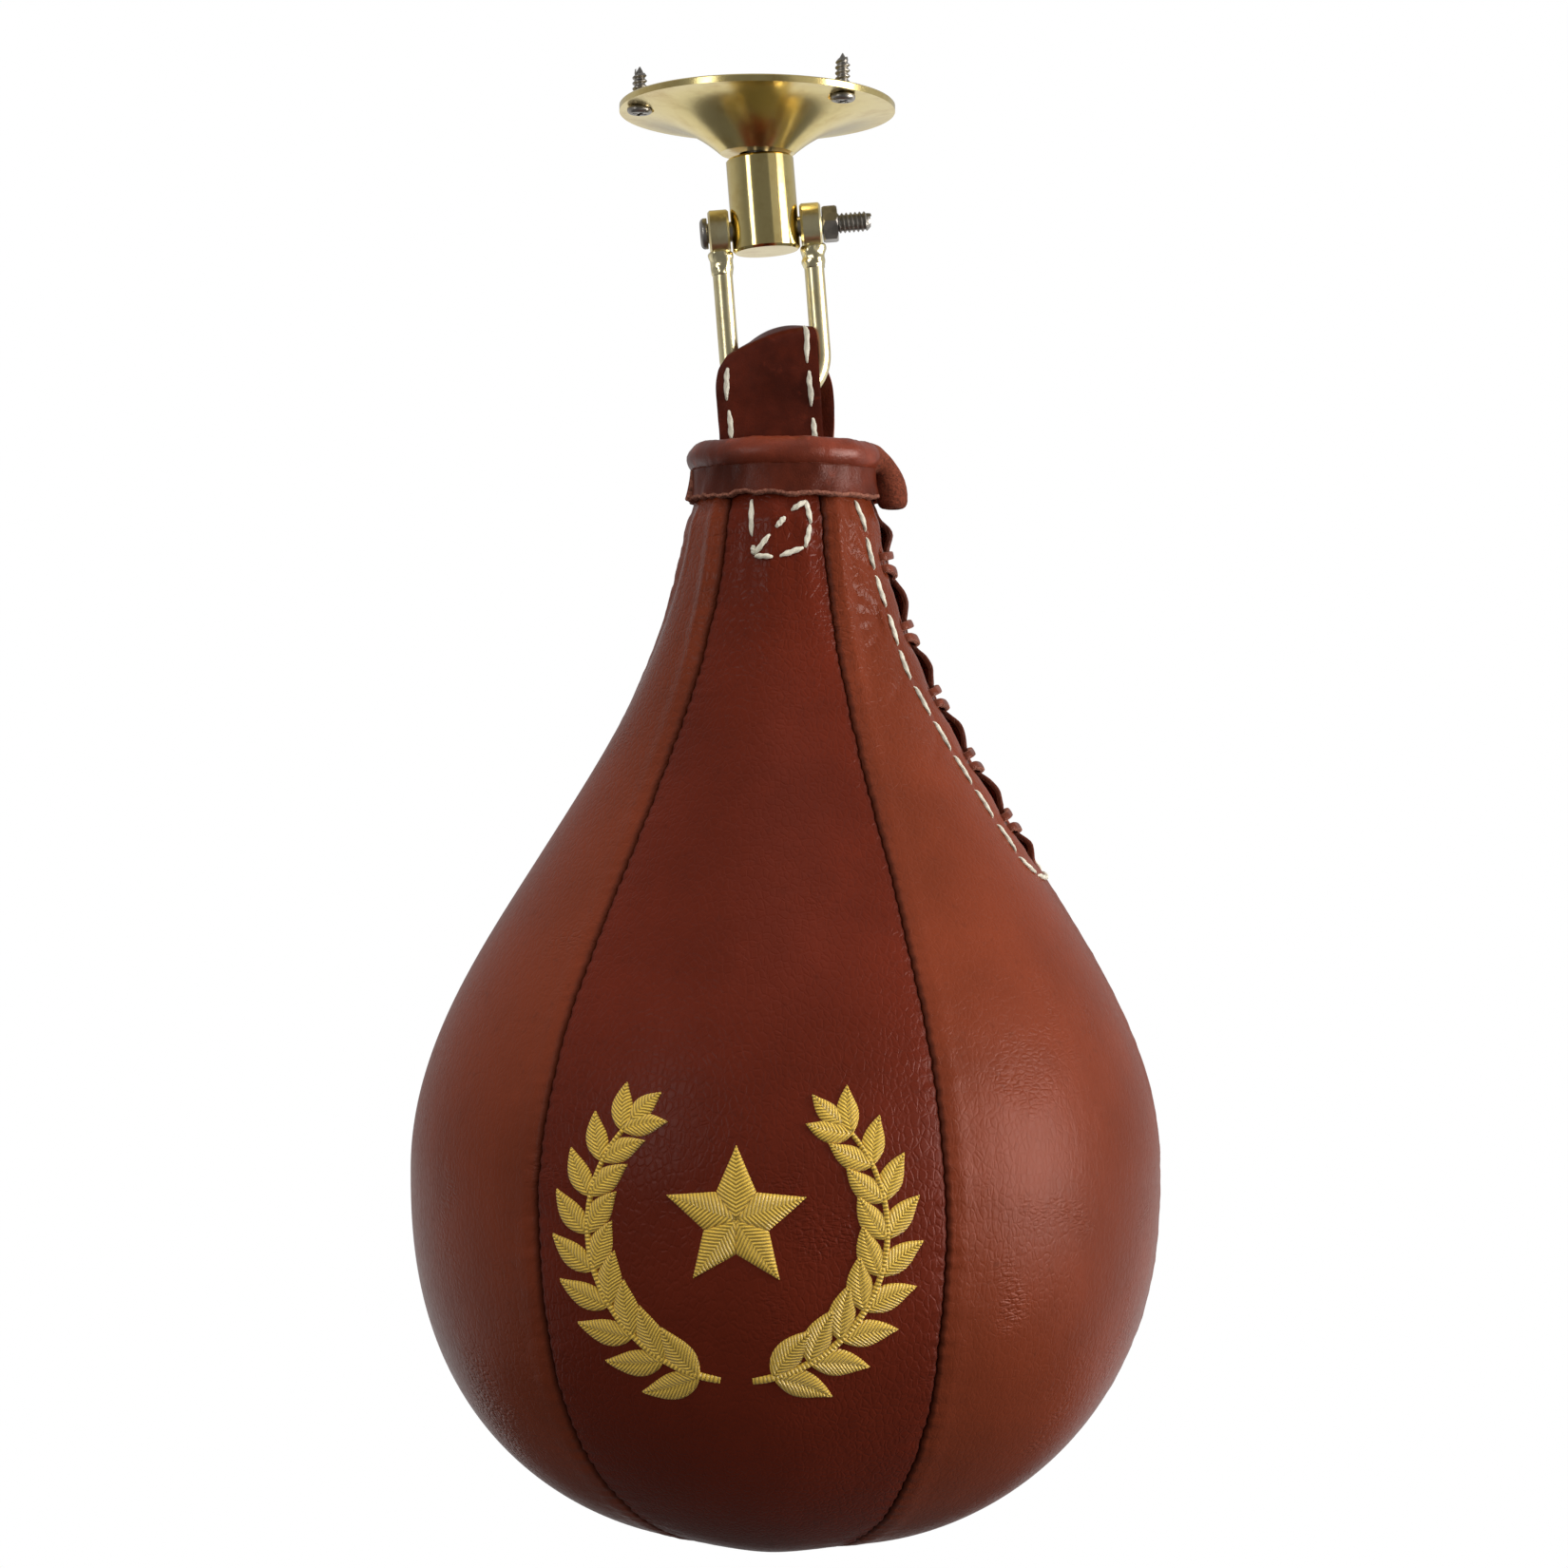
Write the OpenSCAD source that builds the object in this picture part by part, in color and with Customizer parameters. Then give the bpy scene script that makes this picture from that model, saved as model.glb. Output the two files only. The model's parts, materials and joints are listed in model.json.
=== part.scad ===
// Lace-up leather speed bag on a brass ball swivel. Millimetres. The origin is the middle of
// the flange's top face, +Z is up and -Y is the front. At rest the swivel leans a little
// towards +X, as it does when it is left hanging, and the bag hangs plumb from the bail.

/* [Flange] */
// Diameter of the mounting flange
flange_d = 66; // [60:1:80]
// Thickness of the flange at its rim
rim_t = 1.7; // [1.2:0.1:3]
// Height of the flange from its top face to the mouth of its bell
flange_h = 11.6; // [11.2:0.1:15]
// Diameter of the bell at its mouth
bell_d = 17.8; // [16.5:0.1:22]
// Slope of the underside where it leaves the rim, in degrees
rim_slope = 3; // [0:0.5:6]
// Diameter of the circle that the screws stand on
screw_pcd = 57.4; // [52:0.2:62]
// Number of screws
screw_count = 3; // [3:1:6]
// Direction of the first screw, in degrees from +X
screw_start = 74.3; // [0:0.1:119]
// Outside diameter of a screw's thread
screw_d = 3.5; // [3:0.1:4.5]
// Length of screw that stands above the flange
screw_reach = 7.6; // [5:0.1:30]
// Diameter of a screw's head
screw_head_d = 6.4; // [5.5:0.1:8]
// Height of a screw's head
screw_head_h = 2.1; // [1.5:0.1:3]

/* [Swivel] */
// Diameter of the swivel ball
ball_d = 10; // [9:0.1:11]
// Depth of the ball's centre below the flange's top face
ball_depth = 5.9; // [5.7:0.1:6.2]
// Diameter of the ball's stem
stem_d = 5.8; // [5:0.1:6.2]
// Length of stem that is screwed into the barrel
stem_grip = 10; // [6:0.5:12]
// Outside diameter of the ball seat
seat_d = 12.3; // [12:0.1:13]
// Lean of the swivel at rest, in degrees
swivel_lean = 4.5; // [0:0.1:5]
// Diameter of the barrel
barrel_d = 16.2; // [14:0.1:18]
// Length of the barrel
barrel_len = 22.5; // [20:0.5:30]
// Gap between the bell and the barrel's top, on the axis
barrel_gap = 1.0; // [1:0.1:2]
// Chamfer round the barrel's ends
barrel_chamfer = 0.6; // [0.4:0.1:1]

/* [Bail] */
// Diameter of the pivot bolt
bolt_d = 4.8; // [4:0.1:5.5]
// Height of the pivot bolt above the barrel's bottom
bolt_rise = 5.4; // [4:0.1:8]
// Length of thread that stands out of the nut
bolt_tail = 7.9; // [4:0.1:12]
// Diameter of the bolt's head
bolt_head_d = 7.4; // [7:0.1:10]
// Height of the bolt's head
bolt_head_h = 1.8; // [1.6:0.1:3]
// Size of the nut across its flats
nut_af = 8; // [7:0.1:10]
// Thickness of the nut
nut_t = 3.6; // [3:0.1:5]
// Diameter of the bail's rod
rod_d = 4.76; // [4:0.02:5.2]
// Outside diameter of the eyes
eye_d = 10.8; // [9.5:0.1:12.5]
// Width of the eyes along the bolt
eye_w = 5; // [4.5:0.1:6]
// Height of the bail from the bolt to the middle of the rod at the bottom
bail_h = 41.4; // [36:0.2:55]
// Height of the brazing under each eye
braze_h = 4.2; // [2:0.1:6]

/* [Bag] */
// Largest diameter of the bag
bag_d = 178; // [150:1:210]
// Height of the bag from its mouth to its bottom
bag_h = 253; // [230:1:290]
// Height from the mouth down to the widest level
belly_drop = 164.8; // [150:0.2:190]
// Diameter of the neck
neck_d = 46; // [45:0.5:56]
// Height from the mouth down to the neck
neck_drop = 12.8; // [11:0.1:18]
// Fullness of the bottom, 2 for an ellipse
bottom_fullness = 2.35; // [2:0.05:3]
// Thickness of the leather panels
leather_t = 2; // [1.5:0.1:2.6]
// Wall of the rubber bladder
bladder_wall = 1; // [0.6:0.1:1.5]
// Direction of the laced seam, in degrees from +X
lace_dir = -7.4; // [-20:0.1:20]

/* [Loop and collar] */
// Width of the hanging loop's strap
strap_w = 24.6; // [22:0.2:26]
// Thickness of the hanging loop's strap
strap_t = 2.4; // [2:0.1:2.8]
// Sideways distance from the loop to the bag's axis
bag_offset = 2.6; // [0:0.1:3]
// Height of the loop's fold above the bag's mouth
loop_rise = 27; // [26:0.2:40]
// Swing of the loop on the bail, to each side, in degrees
loop_swing = 8; // [4:0.5:9]
// Diameter of the collar's roll
roll_d = 7.2; // [6:0.1:8]
// Height of the collar's band below the roll
band_h = 5.4; // [4:0.1:7]
// Thickness of the collar's band
band_t = 2; // [1.5:0.1:2.5]
// Angle over which the collar is open at the lacing
collar_gap = 26; // [20:1:40]

/* [Lacing] */
// Number of times the lace crosses the opening
lace_turns = 5; // [3:1:5]
// Width of the lace
lace_w = 5; // [3:0.1:6]
// Thickness of the lace
lace_t = 1.4; // [1:0.1:1.8]
// Width of the opening under the lace
slit_w = 4; // [3:0.1:5]
// Distance of the lace holes from the middle of the opening
lace_reach = 6; // [5.5:0.1:7]
// Width of the strips that stiffen the opening's edges
facing_w = 14.5; // [9:0.1:16]
// Thickness of the stiffening strips
facing_t = 1.2; // [0.8:0.1:1.6]
// Width of the tongue under the lacing
tongue_w = 20; // [16:0.5:22]
// Thickness of the tongue
tongue_t = 1.5; // [1:0.1:2]

/* [Hidden] */
$fn = 96;

// Clearances: a running fit, a seat on another piece, a joint that is filled with braze,
// and a layer of leather on another one
fit_gap = 0.05;
seat_gap = 0.3;
braze_gap = 0.03;
layer_gap = 0.2;
// How far a cutting tool runs past the face that it cuts
cut = 1;

brass = [0.80, 0.66, 0.30];
steel = [0.60, 0.58, 0.55];
oxblood = [0.42, 0.15, 0.09];
raw_leather = [0.55, 0.30, 0.24];
rubber = [0.15, 0.15, 0.16];

// Flange: the underside is one arc that leaves the rim at rim_slope and ends at the bell's mouth
flange_r = flange_d / 2;
rim_chamfer = 0.3;
rim_point = [flange_r, -rim_t];
mouth_point = [bell_d / 2, -flange_h];
rim_normal = [sin(rim_slope), -cos(rim_slope)];
flare_chord = mouth_point - rim_point;
flare_r = (flare_chord * flare_chord) / (2 * flare_chord * rim_normal);
flare_centre = rim_point + flare_r * rim_normal;
screw_r = screw_d / 2;
screw_circle_r = screw_pcd / 2;
screw_seat_z = flare_centre.y + sqrt(flare_r ^ 2 - (screw_circle_r - flare_centre.x) ^ 2);
screw_slack = 0.15;
screw_hole_r = screw_r + screw_slack;
screw_thread_depth = 0.35;
screw_core_r = screw_r - screw_thread_depth;
screw_tip = 2.6;
spot_face_d = screw_head_d + 2 * layer_gap;
recess_w = 0.8;
recess_len = 3.4;
recess_depth = 1.2;

// Pan heads: the share of the radius that is flat, and the share of the height that is rim
pan_flat = 0.62;
pan_rim = 0.4;
function pan_head(r, h) = concat(
    [[0, h]],
    [for (a = [0 : 15 : 90])
        [r * (pan_flat + (1 - pan_flat) * sin(a)), h * (pan_rim + (1 - pan_rim) * cos(a))]],
    [[r, 0]]
);

// Ball, seat and barrel, measured down the leaning axis from the ball's centre
ball_r = ball_d / 2;
stem_r = stem_d / 2;
seat_r = seat_d / 2;
bell_floor_t = 1.8;
seat_floor = flange_h - bell_floor_t;
stem_room = 1.05;
seat_mouth_r = stem_r + stem_room;
bell_mouth_r = seat_mouth_r + seat_gap;
seat_rise = 1;
barrel_r = barrel_d / 2;
barrel_top = flange_h + barrel_gap - ball_depth;
bolt_drop = barrel_top + barrel_len - bolt_rise;

// Bail
bolt_r = bolt_d / 2;
rod_r = rod_d / 2;
eye_r = eye_d / 2;
eye_gap = 0.4;
leg_x = barrel_r + eye_gap + eye_w / 2;
eye_end = leg_x + eye_w / 2;
eye_chamfer = 0.5;
leg_len = bail_h - leg_x;
braze_top_t = 1.1;
braze_end_t = 0.25;
braze_top_r = rod_r + braze_top_t;
braze_end_r = rod_r + braze_end_t;

// Loop: a domed fold between the bail's legs, and two flaps that clear the rod as it swings
loop_dip = 1.2;
fold_gap = 0.37;
fold_in_r = rod_r + fold_gap;
fold_out_r = fold_in_r + strap_t;
dome_r = sqrt((leg_x - rod_r) ^ 2 - loop_dip ^ 2) - seat_gap;
dome_ring_r = dome_r - fold_out_r;
shoulder_r = strap_w / 2 - dome_r;
rod_foot = leg_x - loop_dip + rod_r;
flap_gap = rod_r / cos(loop_swing) + rod_foot * tan(loop_swing) + seat_gap;
loop_x = (bolt_drop + leg_len) * sin(swivel_lean);
loop_z = -ball_depth - (bolt_drop + leg_len) * cos(swivel_lean) - loop_dip;
strap_edge = strap_w / 2 + bag_offset;
strap_corner_r = norm([strap_edge, flap_gap + strap_t]);

// Collar and mouth: the strap comes up through the roll
roll_r = roll_d / 2;
roll_ring_r = strap_corner_r + seat_gap + roll_r;
mouth_spread = 0.1;
mouth_r = roll_ring_r + mouth_spread;
mouth_z = -loop_rise;
roll_z = mouth_z + seat_gap + roll_r;
band_in_r = mouth_r + seat_gap;
droop_root = 9;
droop_reach = 5.2;
droop_turn = 15;
droop_fall = 8;
droop_slim = 0.25;
droop_chamfer = 1.2;

// Bag outline, from the bottom up to the mouth, in the bag's own frame
belly_r = bag_d / 2;
belly_z = mouth_z - belly_drop;
bottom_h = bag_h - belly_drop;
neck_r = neck_d / 2;
neck_z = mouth_z - neck_drop;
belly_pull = 51;
neck_flare = 8.5;
neck_pull = 60;
pole_r = 1.2;
bottom_steps = 11;
shoulder_steps = 14;
shoulder_curve = [
    [belly_r, belly_z],
    [belly_r, belly_z + belly_pull],
    [neck_r + neck_flare, neck_z - neck_pull],
    [neck_r, neck_z]
];
function bezier(p, t) =
    (1 - t) ^ 3 * p[0] + 3 * t * (1 - t) ^ 2 * p[1] + 3 * t ^ 2 * (1 - t) * p[2] + t ^ 3 * p[3];
function bezier_slope(p, t) =
    3 * (1 - t) ^ 2 * (p[1] - p[0]) + 6 * t * (1 - t) * (p[2] - p[1]) + 3 * t ^ 2 * (p[3] - p[2]);
function unit(v) = v / norm(v);
function outward(v) = unit([v.y, -v.x]);
function bottom_point(a) = [
    belly_r * sin(a) ^ (2 / bottom_fullness),
    belly_z - bottom_h * cos(a) ^ (2 / bottom_fullness)
];
outline = concat(
    [[pole_r, belly_z - bottom_h]],
    [for (i = [1 : bottom_steps]) bottom_point(90 * i / bottom_steps)],
    [for (i = [1 : shoulder_steps]) bezier(shoulder_curve, i / shoulder_steps)],
    [[mouth_r, mouth_z - band_h - seat_gap], [mouth_r, mouth_z]]
);
// The outline moved out along its own normals, or in where the distance is negative
function moved(points, distances) = [
    for (i = [0 : len(points) - 1])
    points[i] + distances[i] * outward(
        points[min(i + 1, len(points) - 1)] - points[max(i - 1, 0)])
];
function even(points, d) = moved(points, [for (p = points) d]);
function reversed(list) = [for (i = [len(list) - 1 : -1 : 0]) list[i]];
function layer(points, top, bottom) = concat(even(points, top), reversed(even(points, bottom)));

// Panels
panel_count = 6;
panel_turn = 360 / panel_count;
seam_turn = 0.16;

// Lacing: heights along the shoulder run from 0 at the belly to 1 at the neck
lace_first = 0.56;
lace_step = 0.097;
lace_gap = 0.35;
lace_over = lace_gap + lace_t / 2;
facing_top = leather_t + layer_gap;
facing_bottom = facing_top + facing_t;
lace_under = -(facing_bottom + lace_gap + lace_t / 2);
tongue_top = facing_bottom + 2 * lace_gap + lace_t;
tongue_end = 0.4;
slot_depth = facing_bottom + cut;
lace_bend = 1.5;
lace_slack = 0.4;
slit_end = 0.488;
slit_tip = bezier(shoulder_curve, slit_end);
function lace_height(k) = lace_first + lace_step * k;
function around(u, t) = lace_dir + t / bezier(shoulder_curve, u).x * 180 / PI;
// Point and directions on the shoulder: height u, distance t round from the slit, n above the skin
function flat_normal(u) = outward(bezier_slope(shoulder_curve, u));
function turned(v, a) = [v.x * cos(a), v.x * sin(a), v.y];
function skin_point(u, t, n) =
    turned(bezier(shoulder_curve, u) + n * flat_normal(u), around(u, t));
function skin_normal(u, t) = turned(flat_normal(u), around(u, t));
function skin_along(u, t) = turned(unit(bezier_slope(shoulder_curve, u)), around(u, t));
function skin_across(u, t) = [-sin(around(u, t)), cos(around(u, t)), 0];
// One station of the lace: height, distance round, height above the skin, turn of its upper face
function bend_station(u, side, level, a) = [
    u,
    side * (lace_reach - lace_bend) + lace_bend * cos(a),
    level + lace_bend * sin(a),
    a
];
lace_upper = lace_over - lace_bend;
lace_lower = lace_under + lace_bend;
lace_route = [
    for (k = [0 : lace_turns - 1])
    let (u = lace_height(k), below = u - lace_step / 2, above = u + lace_step / 2)
    each concat(
        [[below, 0, lace_under, 270]],
        [for (a = [270 : 45 : 360]) bend_station(u, 1, lace_lower, a)],
        [for (a = [0 : 45 : 90]) bend_station(u, 1, lace_upper, a)],
        [[u, 0, lace_over, 90]],
        [for (a = [90 : 45 : 180]) bend_station(u, -1, lace_upper, a)],
        [for (a = [180 : 45 : 270]) bend_station(u, -1, lace_lower, a)],
        k == lace_turns - 1 ? [[above, 0, lace_under, 270]] : []
    )
];
function lace_ring(s) =
    let (
        centre = skin_point(s[0], s[1], s[2]),
        along = skin_along(s[0], s[1]) * lace_w / 2,
        face = (cos(s[3]) * skin_across(s[0], s[1]) + sin(s[3]) * skin_normal(s[0], s[1])) * lace_t / 2
    )
    [centre + along + face, centre - along + face, centre - along - face, centre + along - face];

// Bladder: it fills the bag, and draws in under the tongue
bladder_gap = leather_t + seat_gap;
bladder_top = 0.86;
bladder_steps = 11;
draw_in_steps = 4;
tongue_depth = tongue_top + tongue_t + seat_gap - bladder_gap;
valve_r = 3.2;
valve_h = 11;
valve_lip_r = 5.5;
valve_lip_t = 1.2;
bladder_skin = concat(
    [for (i = [0 : bottom_steps]) outline[i]],
    [for (i = [1 : bladder_steps]) bezier(shoulder_curve, bladder_top * i / bladder_steps)]
);
bladder_inset = [
    for (i = [0 : len(bladder_skin) - 1])
    -bladder_gap - tongue_depth * min(1, max(0, (i - bottom_steps) / draw_in_steps))
];
bladder_outer = moved(bladder_skin, bladder_inset);
bladder_inner = even(bladder_outer, -bladder_wall);
bladder_crown = bladder_outer[len(bladder_outer) - 1];

// The swivel's leaning frame, with the ball's centre as its origin
module leaning() {
    translate([0, 0, -ball_depth]) rotate([0, -swivel_lean, 0]) children();
}

// The bag's frame: its axis, at the height of the loop's fold
module hanging() {
    translate([loop_x + bag_offset, 0, loop_z]) children();
}

module each_screw() {
    for (i = [0 : screw_count - 1])
        rotate([0, 0, screw_start + 360 * i / screw_count])
            translate([screw_circle_r, 0, 0])
                children();
}

// A cylinder along X, centred on the origin
module cross_cylinder(r, h) {
    rotate([0, 90, 0]) cylinder(r = r, h = h, center = true);
}

module mounting_flange() {
    color(brass)
    difference() {
        rotate_extrude()
        difference() {
            polygon([
                [bell_mouth_r, 0],
                [flange_r - rim_chamfer, 0],
                [flange_r, -rim_chamfer],
                [flange_r, -flange_h],
                [bell_mouth_r, -flange_h]
            ]);
            translate(flare_centre) circle(flare_r, $fn = 720);
            translate([0, -seat_floor]) square([seat_r + fit_gap, seat_floor + cut]);
        }
        each_screw() {
            translate([0, 0, -flange_h]) cylinder(r = screw_hole_r, h = flange_h + cut);
            translate([0, 0, screw_seat_z - flange_h])
                cylinder(d = spot_face_d, h = flange_h);
        }
    }
}

// Pan head with a cross recess, a shank through the flange and a pointed thread above it
module flange_screw() {
    head_z = screw_seat_z - screw_head_h;
    difference() {
        rotate_extrude()
        polygon(concat(
            [for (p = pan_head(screw_head_d / 2, screw_head_h)) [p.x, screw_seat_z - p.y]],
            [
                [screw_core_r, screw_seat_z],
                [screw_core_r, 0],
                [screw_r, 0],
                [screw_r, screw_reach - screw_tip],
                [0, screw_reach]
            ]
        ));
        for (turn = [0, 90])
            rotate([0, 0, turn])
                translate([-recess_len / 2, -recess_w / 2, head_z - cut])
                    cube([recess_len, recess_w, recess_depth + cut]);
    }
}

module flange_screws() {
    color(steel) each_screw() flange_screw();
}

module ball_seat() {
    color(brass)
    translate([0, 0, -ball_depth])
    rotate_extrude()
    difference() {
        translate([seat_mouth_r, ball_depth - seat_floor + fit_gap])
            square([seat_r - seat_mouth_r, seat_floor - ball_depth - fit_gap + seat_rise]);
        circle(ball_r + fit_gap);
        square([ball_r + fit_gap, seat_rise + cut]);
    }
}

module ball_stud() {
    color(steel)
    leaning() {
        sphere(ball_r);
        translate([0, 0, -barrel_top - stem_grip])
            cylinder(r = stem_r, h = barrel_top + stem_grip);
    }
}

module swivel_barrel() {
    color(brass)
    leaning()
    difference() {
        translate([0, 0, -barrel_top - barrel_len])
            rotate_extrude()
            polygon([
                [0, 0],
                [barrel_r - barrel_chamfer, 0],
                [barrel_r, barrel_chamfer],
                [barrel_r, barrel_len - barrel_chamfer],
                [barrel_r - barrel_chamfer, barrel_len],
                [0, barrel_len]
            ]);
        translate([0, 0, -barrel_top - stem_grip - fit_gap])
            cylinder(r = stem_r + fit_gap, h = stem_grip + cut);
        translate([0, 0, -bolt_drop]) cross_cylinder(bolt_r + fit_gap, barrel_d + 2 * cut);
    }
}

// Bolt along X from its domed, slotted head on the left to its chamfered tail on the right
module pivot_bolt() {
    head_x = -eye_end - seat_gap;
    tail_x = eye_end + seat_gap + nut_t + bolt_tail;
    tail_chamfer = 0.6;
    slot_w = 1.2;
    color(steel)
    leaning()
    translate([0, 0, -bolt_drop])
    difference() {
        rotate([0, 90, 0])
            rotate_extrude()
            polygon(concat(
                [for (p = pan_head(bolt_head_d / 2, bolt_head_h)) [p.x, head_x - p.y]],
                [
                    [bolt_r, head_x],
                    [bolt_r, tail_x - tail_chamfer],
                    [bolt_r - tail_chamfer, tail_x],
                    [0, tail_x]
                ]
            ));
        translate([head_x - bolt_head_h, 0, 0])
            cube([bolt_head_h, bolt_head_d + 2 * cut, slot_w], center = true);
    }
}

module pivot_nut() {
    sides = 6;
    half_side = 180 / sides;
    corner_r = nut_af / 2 / cos(half_side);
    bevel = 0.5;
    color(steel)
    leaning()
    translate([eye_end + seat_gap, 0, -bolt_drop])
    rotate([0, 90, 0])
    difference() {
        intersection() {
            rotate([0, 0, half_side]) cylinder(r = corner_r, h = nut_t, $fn = sides);
            rotate_extrude()
            polygon([
                [0, 0],
                [corner_r - bevel, 0],
                [corner_r, bevel],
                [corner_r, nut_t - bevel],
                [corner_r - bevel, nut_t],
                [0, nut_t]
            ]);
        }
        translate([0, 0, -cut]) cylinder(r = bolt_r + fit_gap, h = nut_t + 2 * cut);
    }
}

module bail_frame() {
    leaning() translate([0, 0, -bolt_drop]) children();
}

// U-shaped rod whose legs are cut to sit on the eyes
module bail_rod() {
    color(brass)
    bail_frame()
    difference() {
        union() {
            for (side = [-1, 1])
                translate([side * leg_x, 0, -leg_len]) cylinder(r = rod_r, h = leg_len);
            translate([0, 0, -leg_len])
                rotate([-90, 0, 0])
                rotate_extrude(angle = 180)
                translate([leg_x, 0])
                circle(rod_r);
        }
        cross_cylinder(eye_r + braze_gap, 2 * eye_end + 2 * cut);
    }
}

module bail_eye(side) {
    bail_frame()
    translate([side * leg_x - eye_w / 2, 0, 0])
    rotate([0, 90, 0])
    rotate_extrude()
    polygon([
        [bolt_r + fit_gap, 0],
        [eye_r - eye_chamfer, 0],
        [eye_r, eye_chamfer],
        [eye_r, eye_w - eye_chamfer],
        [eye_r - eye_chamfer, eye_w],
        [bolt_r + fit_gap, eye_w]
    ]);
}

module bail_eye_left() {
    color(brass) bail_eye(-1);
}

module bail_eye_right() {
    color(brass) bail_eye(1);
}

// A cone of braze round each leg, under its eye
module bail_brazing() {
    bite = 1.2;
    color(brass)
    bail_frame()
    for (side = [-1, 1])
        difference() {
            translate([side * leg_x, 0, -eye_r - braze_h])
                cylinder(r1 = braze_end_r, r2 = braze_top_r, h = braze_h + bite);
            cross_cylinder(eye_r + braze_gap, 2 * eye_end + 2 * cut);
            translate([side * leg_x, 0, -leg_len]) cylinder(r = rod_r + braze_gap, h = leg_len);
        }
}

// A stretch of the bag's skin between two depths, over one panel's turn
module skin_layer(points, top, bottom, turn) {
    rotate_extrude(angle = turn) polygon(layer(points, top, bottom));
}

module lace_slots() {
    for (k = [0 : lace_turns - 1], side = [-1, 1]) {
        u = lace_height(k);
        p = bezier(shoulder_curve, u);
        slope = bezier_slope(shoulder_curve, u);
        rotate([0, 0, around(u, side * lace_reach)])
            translate([p.x, 0, p.y])
            rotate([0, atan2(slope.x, slope.y), 0])
            cube([2 * slot_depth, lace_t + 2 * lace_slack, lace_w + 2 * lace_slack], center = true);
    }
}

// The opening under the lace, from the mouth down to a round end
module lace_slit() {
    rotate([0, 0, lace_dir]) {
        translate([0, -slit_w / 2, slit_tip.y])
            cube([belly_r, slit_w, mouth_z - slit_tip.y + cut]);
        translate([belly_r / 2, 0, slit_tip.y]) cross_cylinder(slit_w / 2, belly_r);
    }
}

module panel(place) {
    color(oxblood)
    hanging()
    rotate([0, 0, lace_dir + panel_turn * place + seam_turn / 2])
    skin_layer(outline, 0, -leather_t, panel_turn - seam_turn);
}

module laced_panel(place) {
    color(oxblood)
    difference() {
        panel(place);
        hanging() {
            lace_slots();
            lace_slit();
        }
    }
}

module panel_front() {
    panel(-2);
}

module panel_front_right() {
    laced_panel(-1);
}

module panel_back_right() {
    laced_panel(0);
}

module panel_back() {
    panel(1);
}

module panel_back_left() {
    panel(2);
}

module panel_front_left() {
    panel(3);
}

// A round bar between two points, with its far end chamfered
module stub(from, to, r, chamfer) {
    run = to - from;
    length = norm(run);
    translate(from)
        rotate([0, acos(run.z / length), atan2(run.y, run.x)])
        rotate_extrude()
        polygon([[0, 0], [r, 0], [r, length - chamfer], [r - chamfer, length], [0, length]]);
}

// The neck with a layer's gap round it
module neck_room() {
    rotate_extrude()
    polygon([
        [0, mouth_z + layer_gap],
        [mouth_r + layer_gap, mouth_z + layer_gap],
        [mouth_r + layer_gap, mouth_z - band_h - seat_gap],
        [neck_r + layer_gap, neck_z],
        [0, neck_z]
    ]);
}

// A rolled strip round the mouth, open at the lacing, whose front end droops
module neck_collar() {
    start = lace_dir + collar_gap / 2;
    finish = lace_dir - collar_gap / 2;
    droop_from = [
        roll_ring_r * cos(finish - droop_root),
        roll_ring_r * sin(finish - droop_root),
        roll_z
    ];
    droop_ring_r = roll_ring_r + droop_reach;
    droop_to = [
        droop_ring_r * cos(finish + droop_turn),
        droop_ring_r * sin(finish + droop_turn),
        roll_z - droop_fall
    ];
    color(oxblood)
    hanging() {
        rotate([0, 0, start])
            rotate_extrude(angle = 360 - collar_gap) {
                translate([roll_ring_r, roll_z]) circle(roll_r);
                translate([band_in_r, mouth_z - band_h])
                    square([band_t, band_h + roll_z - mouth_z]);
            }
        difference() {
            stub(droop_from, droop_to, roll_r - droop_slim, droop_chamfer);
            neck_room();
        }
    }
}

// The strap seen from the front: rounded shoulders beside the fold, then straight edges
function strap_front(depth) = concat(
    [for (a = [0 : 15 : 90])
        [dome_r + shoulder_r * sin(a), -shoulder_r + shoulder_r * cos(a)]],
    [[strap_w / 2, -depth], [-strap_w / 2, -depth]],
    [for (a = [90 : -15 : 0])
        [-dome_r - shoulder_r * sin(a), -shoulder_r + shoulder_r * cos(a)]]
);

// Hanging loop: a dome-shaped fold, and flaps that go down inside the neck
module hang_loop() {
    tail_len = 12;
    tail_z = neck_z - tail_len;
    tail_y = sqrt((neck_r - leather_t - seat_gap) ^ 2 - strap_edge ^ 2);
    flap = [
        [fold_in_r, 0],
        [flap_gap, -rod_foot - seat_gap],
        [flap_gap, mouth_z],
        [tail_y - strap_t, neck_z],
        [tail_y - strap_t, tail_z]
    ];
    flap_section = concat(flap, reversed([for (p = flap) p + [strap_t, 0]]));
    color(oxblood)
    hanging()
    translate([-bag_offset, 0, 0]) {
        rotate([90, 0, 0])
            rotate_extrude(angle = 180)
            translate([dome_ring_r, 0])
            difference() {
                circle(fold_out_r);
                circle(fold_in_r);
                translate([-2 * fold_out_r, -fold_out_r]) square(2 * fold_out_r);
            }
        for (side = [0, 180])
            rotate([0, 0, side]) {
                translate([0, fold_out_r, 0])
                    rotate([90, 0, 0])
                    cylinder(r = dome_ring_r, h = strap_t);
                intersection() {
                    rotate([90, 0, 90])
                        linear_extrude(height = strap_w, center = true)
                        polygon(flap_section);
                    rotate([90, 0, 0])
                        linear_extrude(height = 2 * neck_d, center = true)
                        polygon(strap_front(-tail_z));
                }
            }
    }
}

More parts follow.
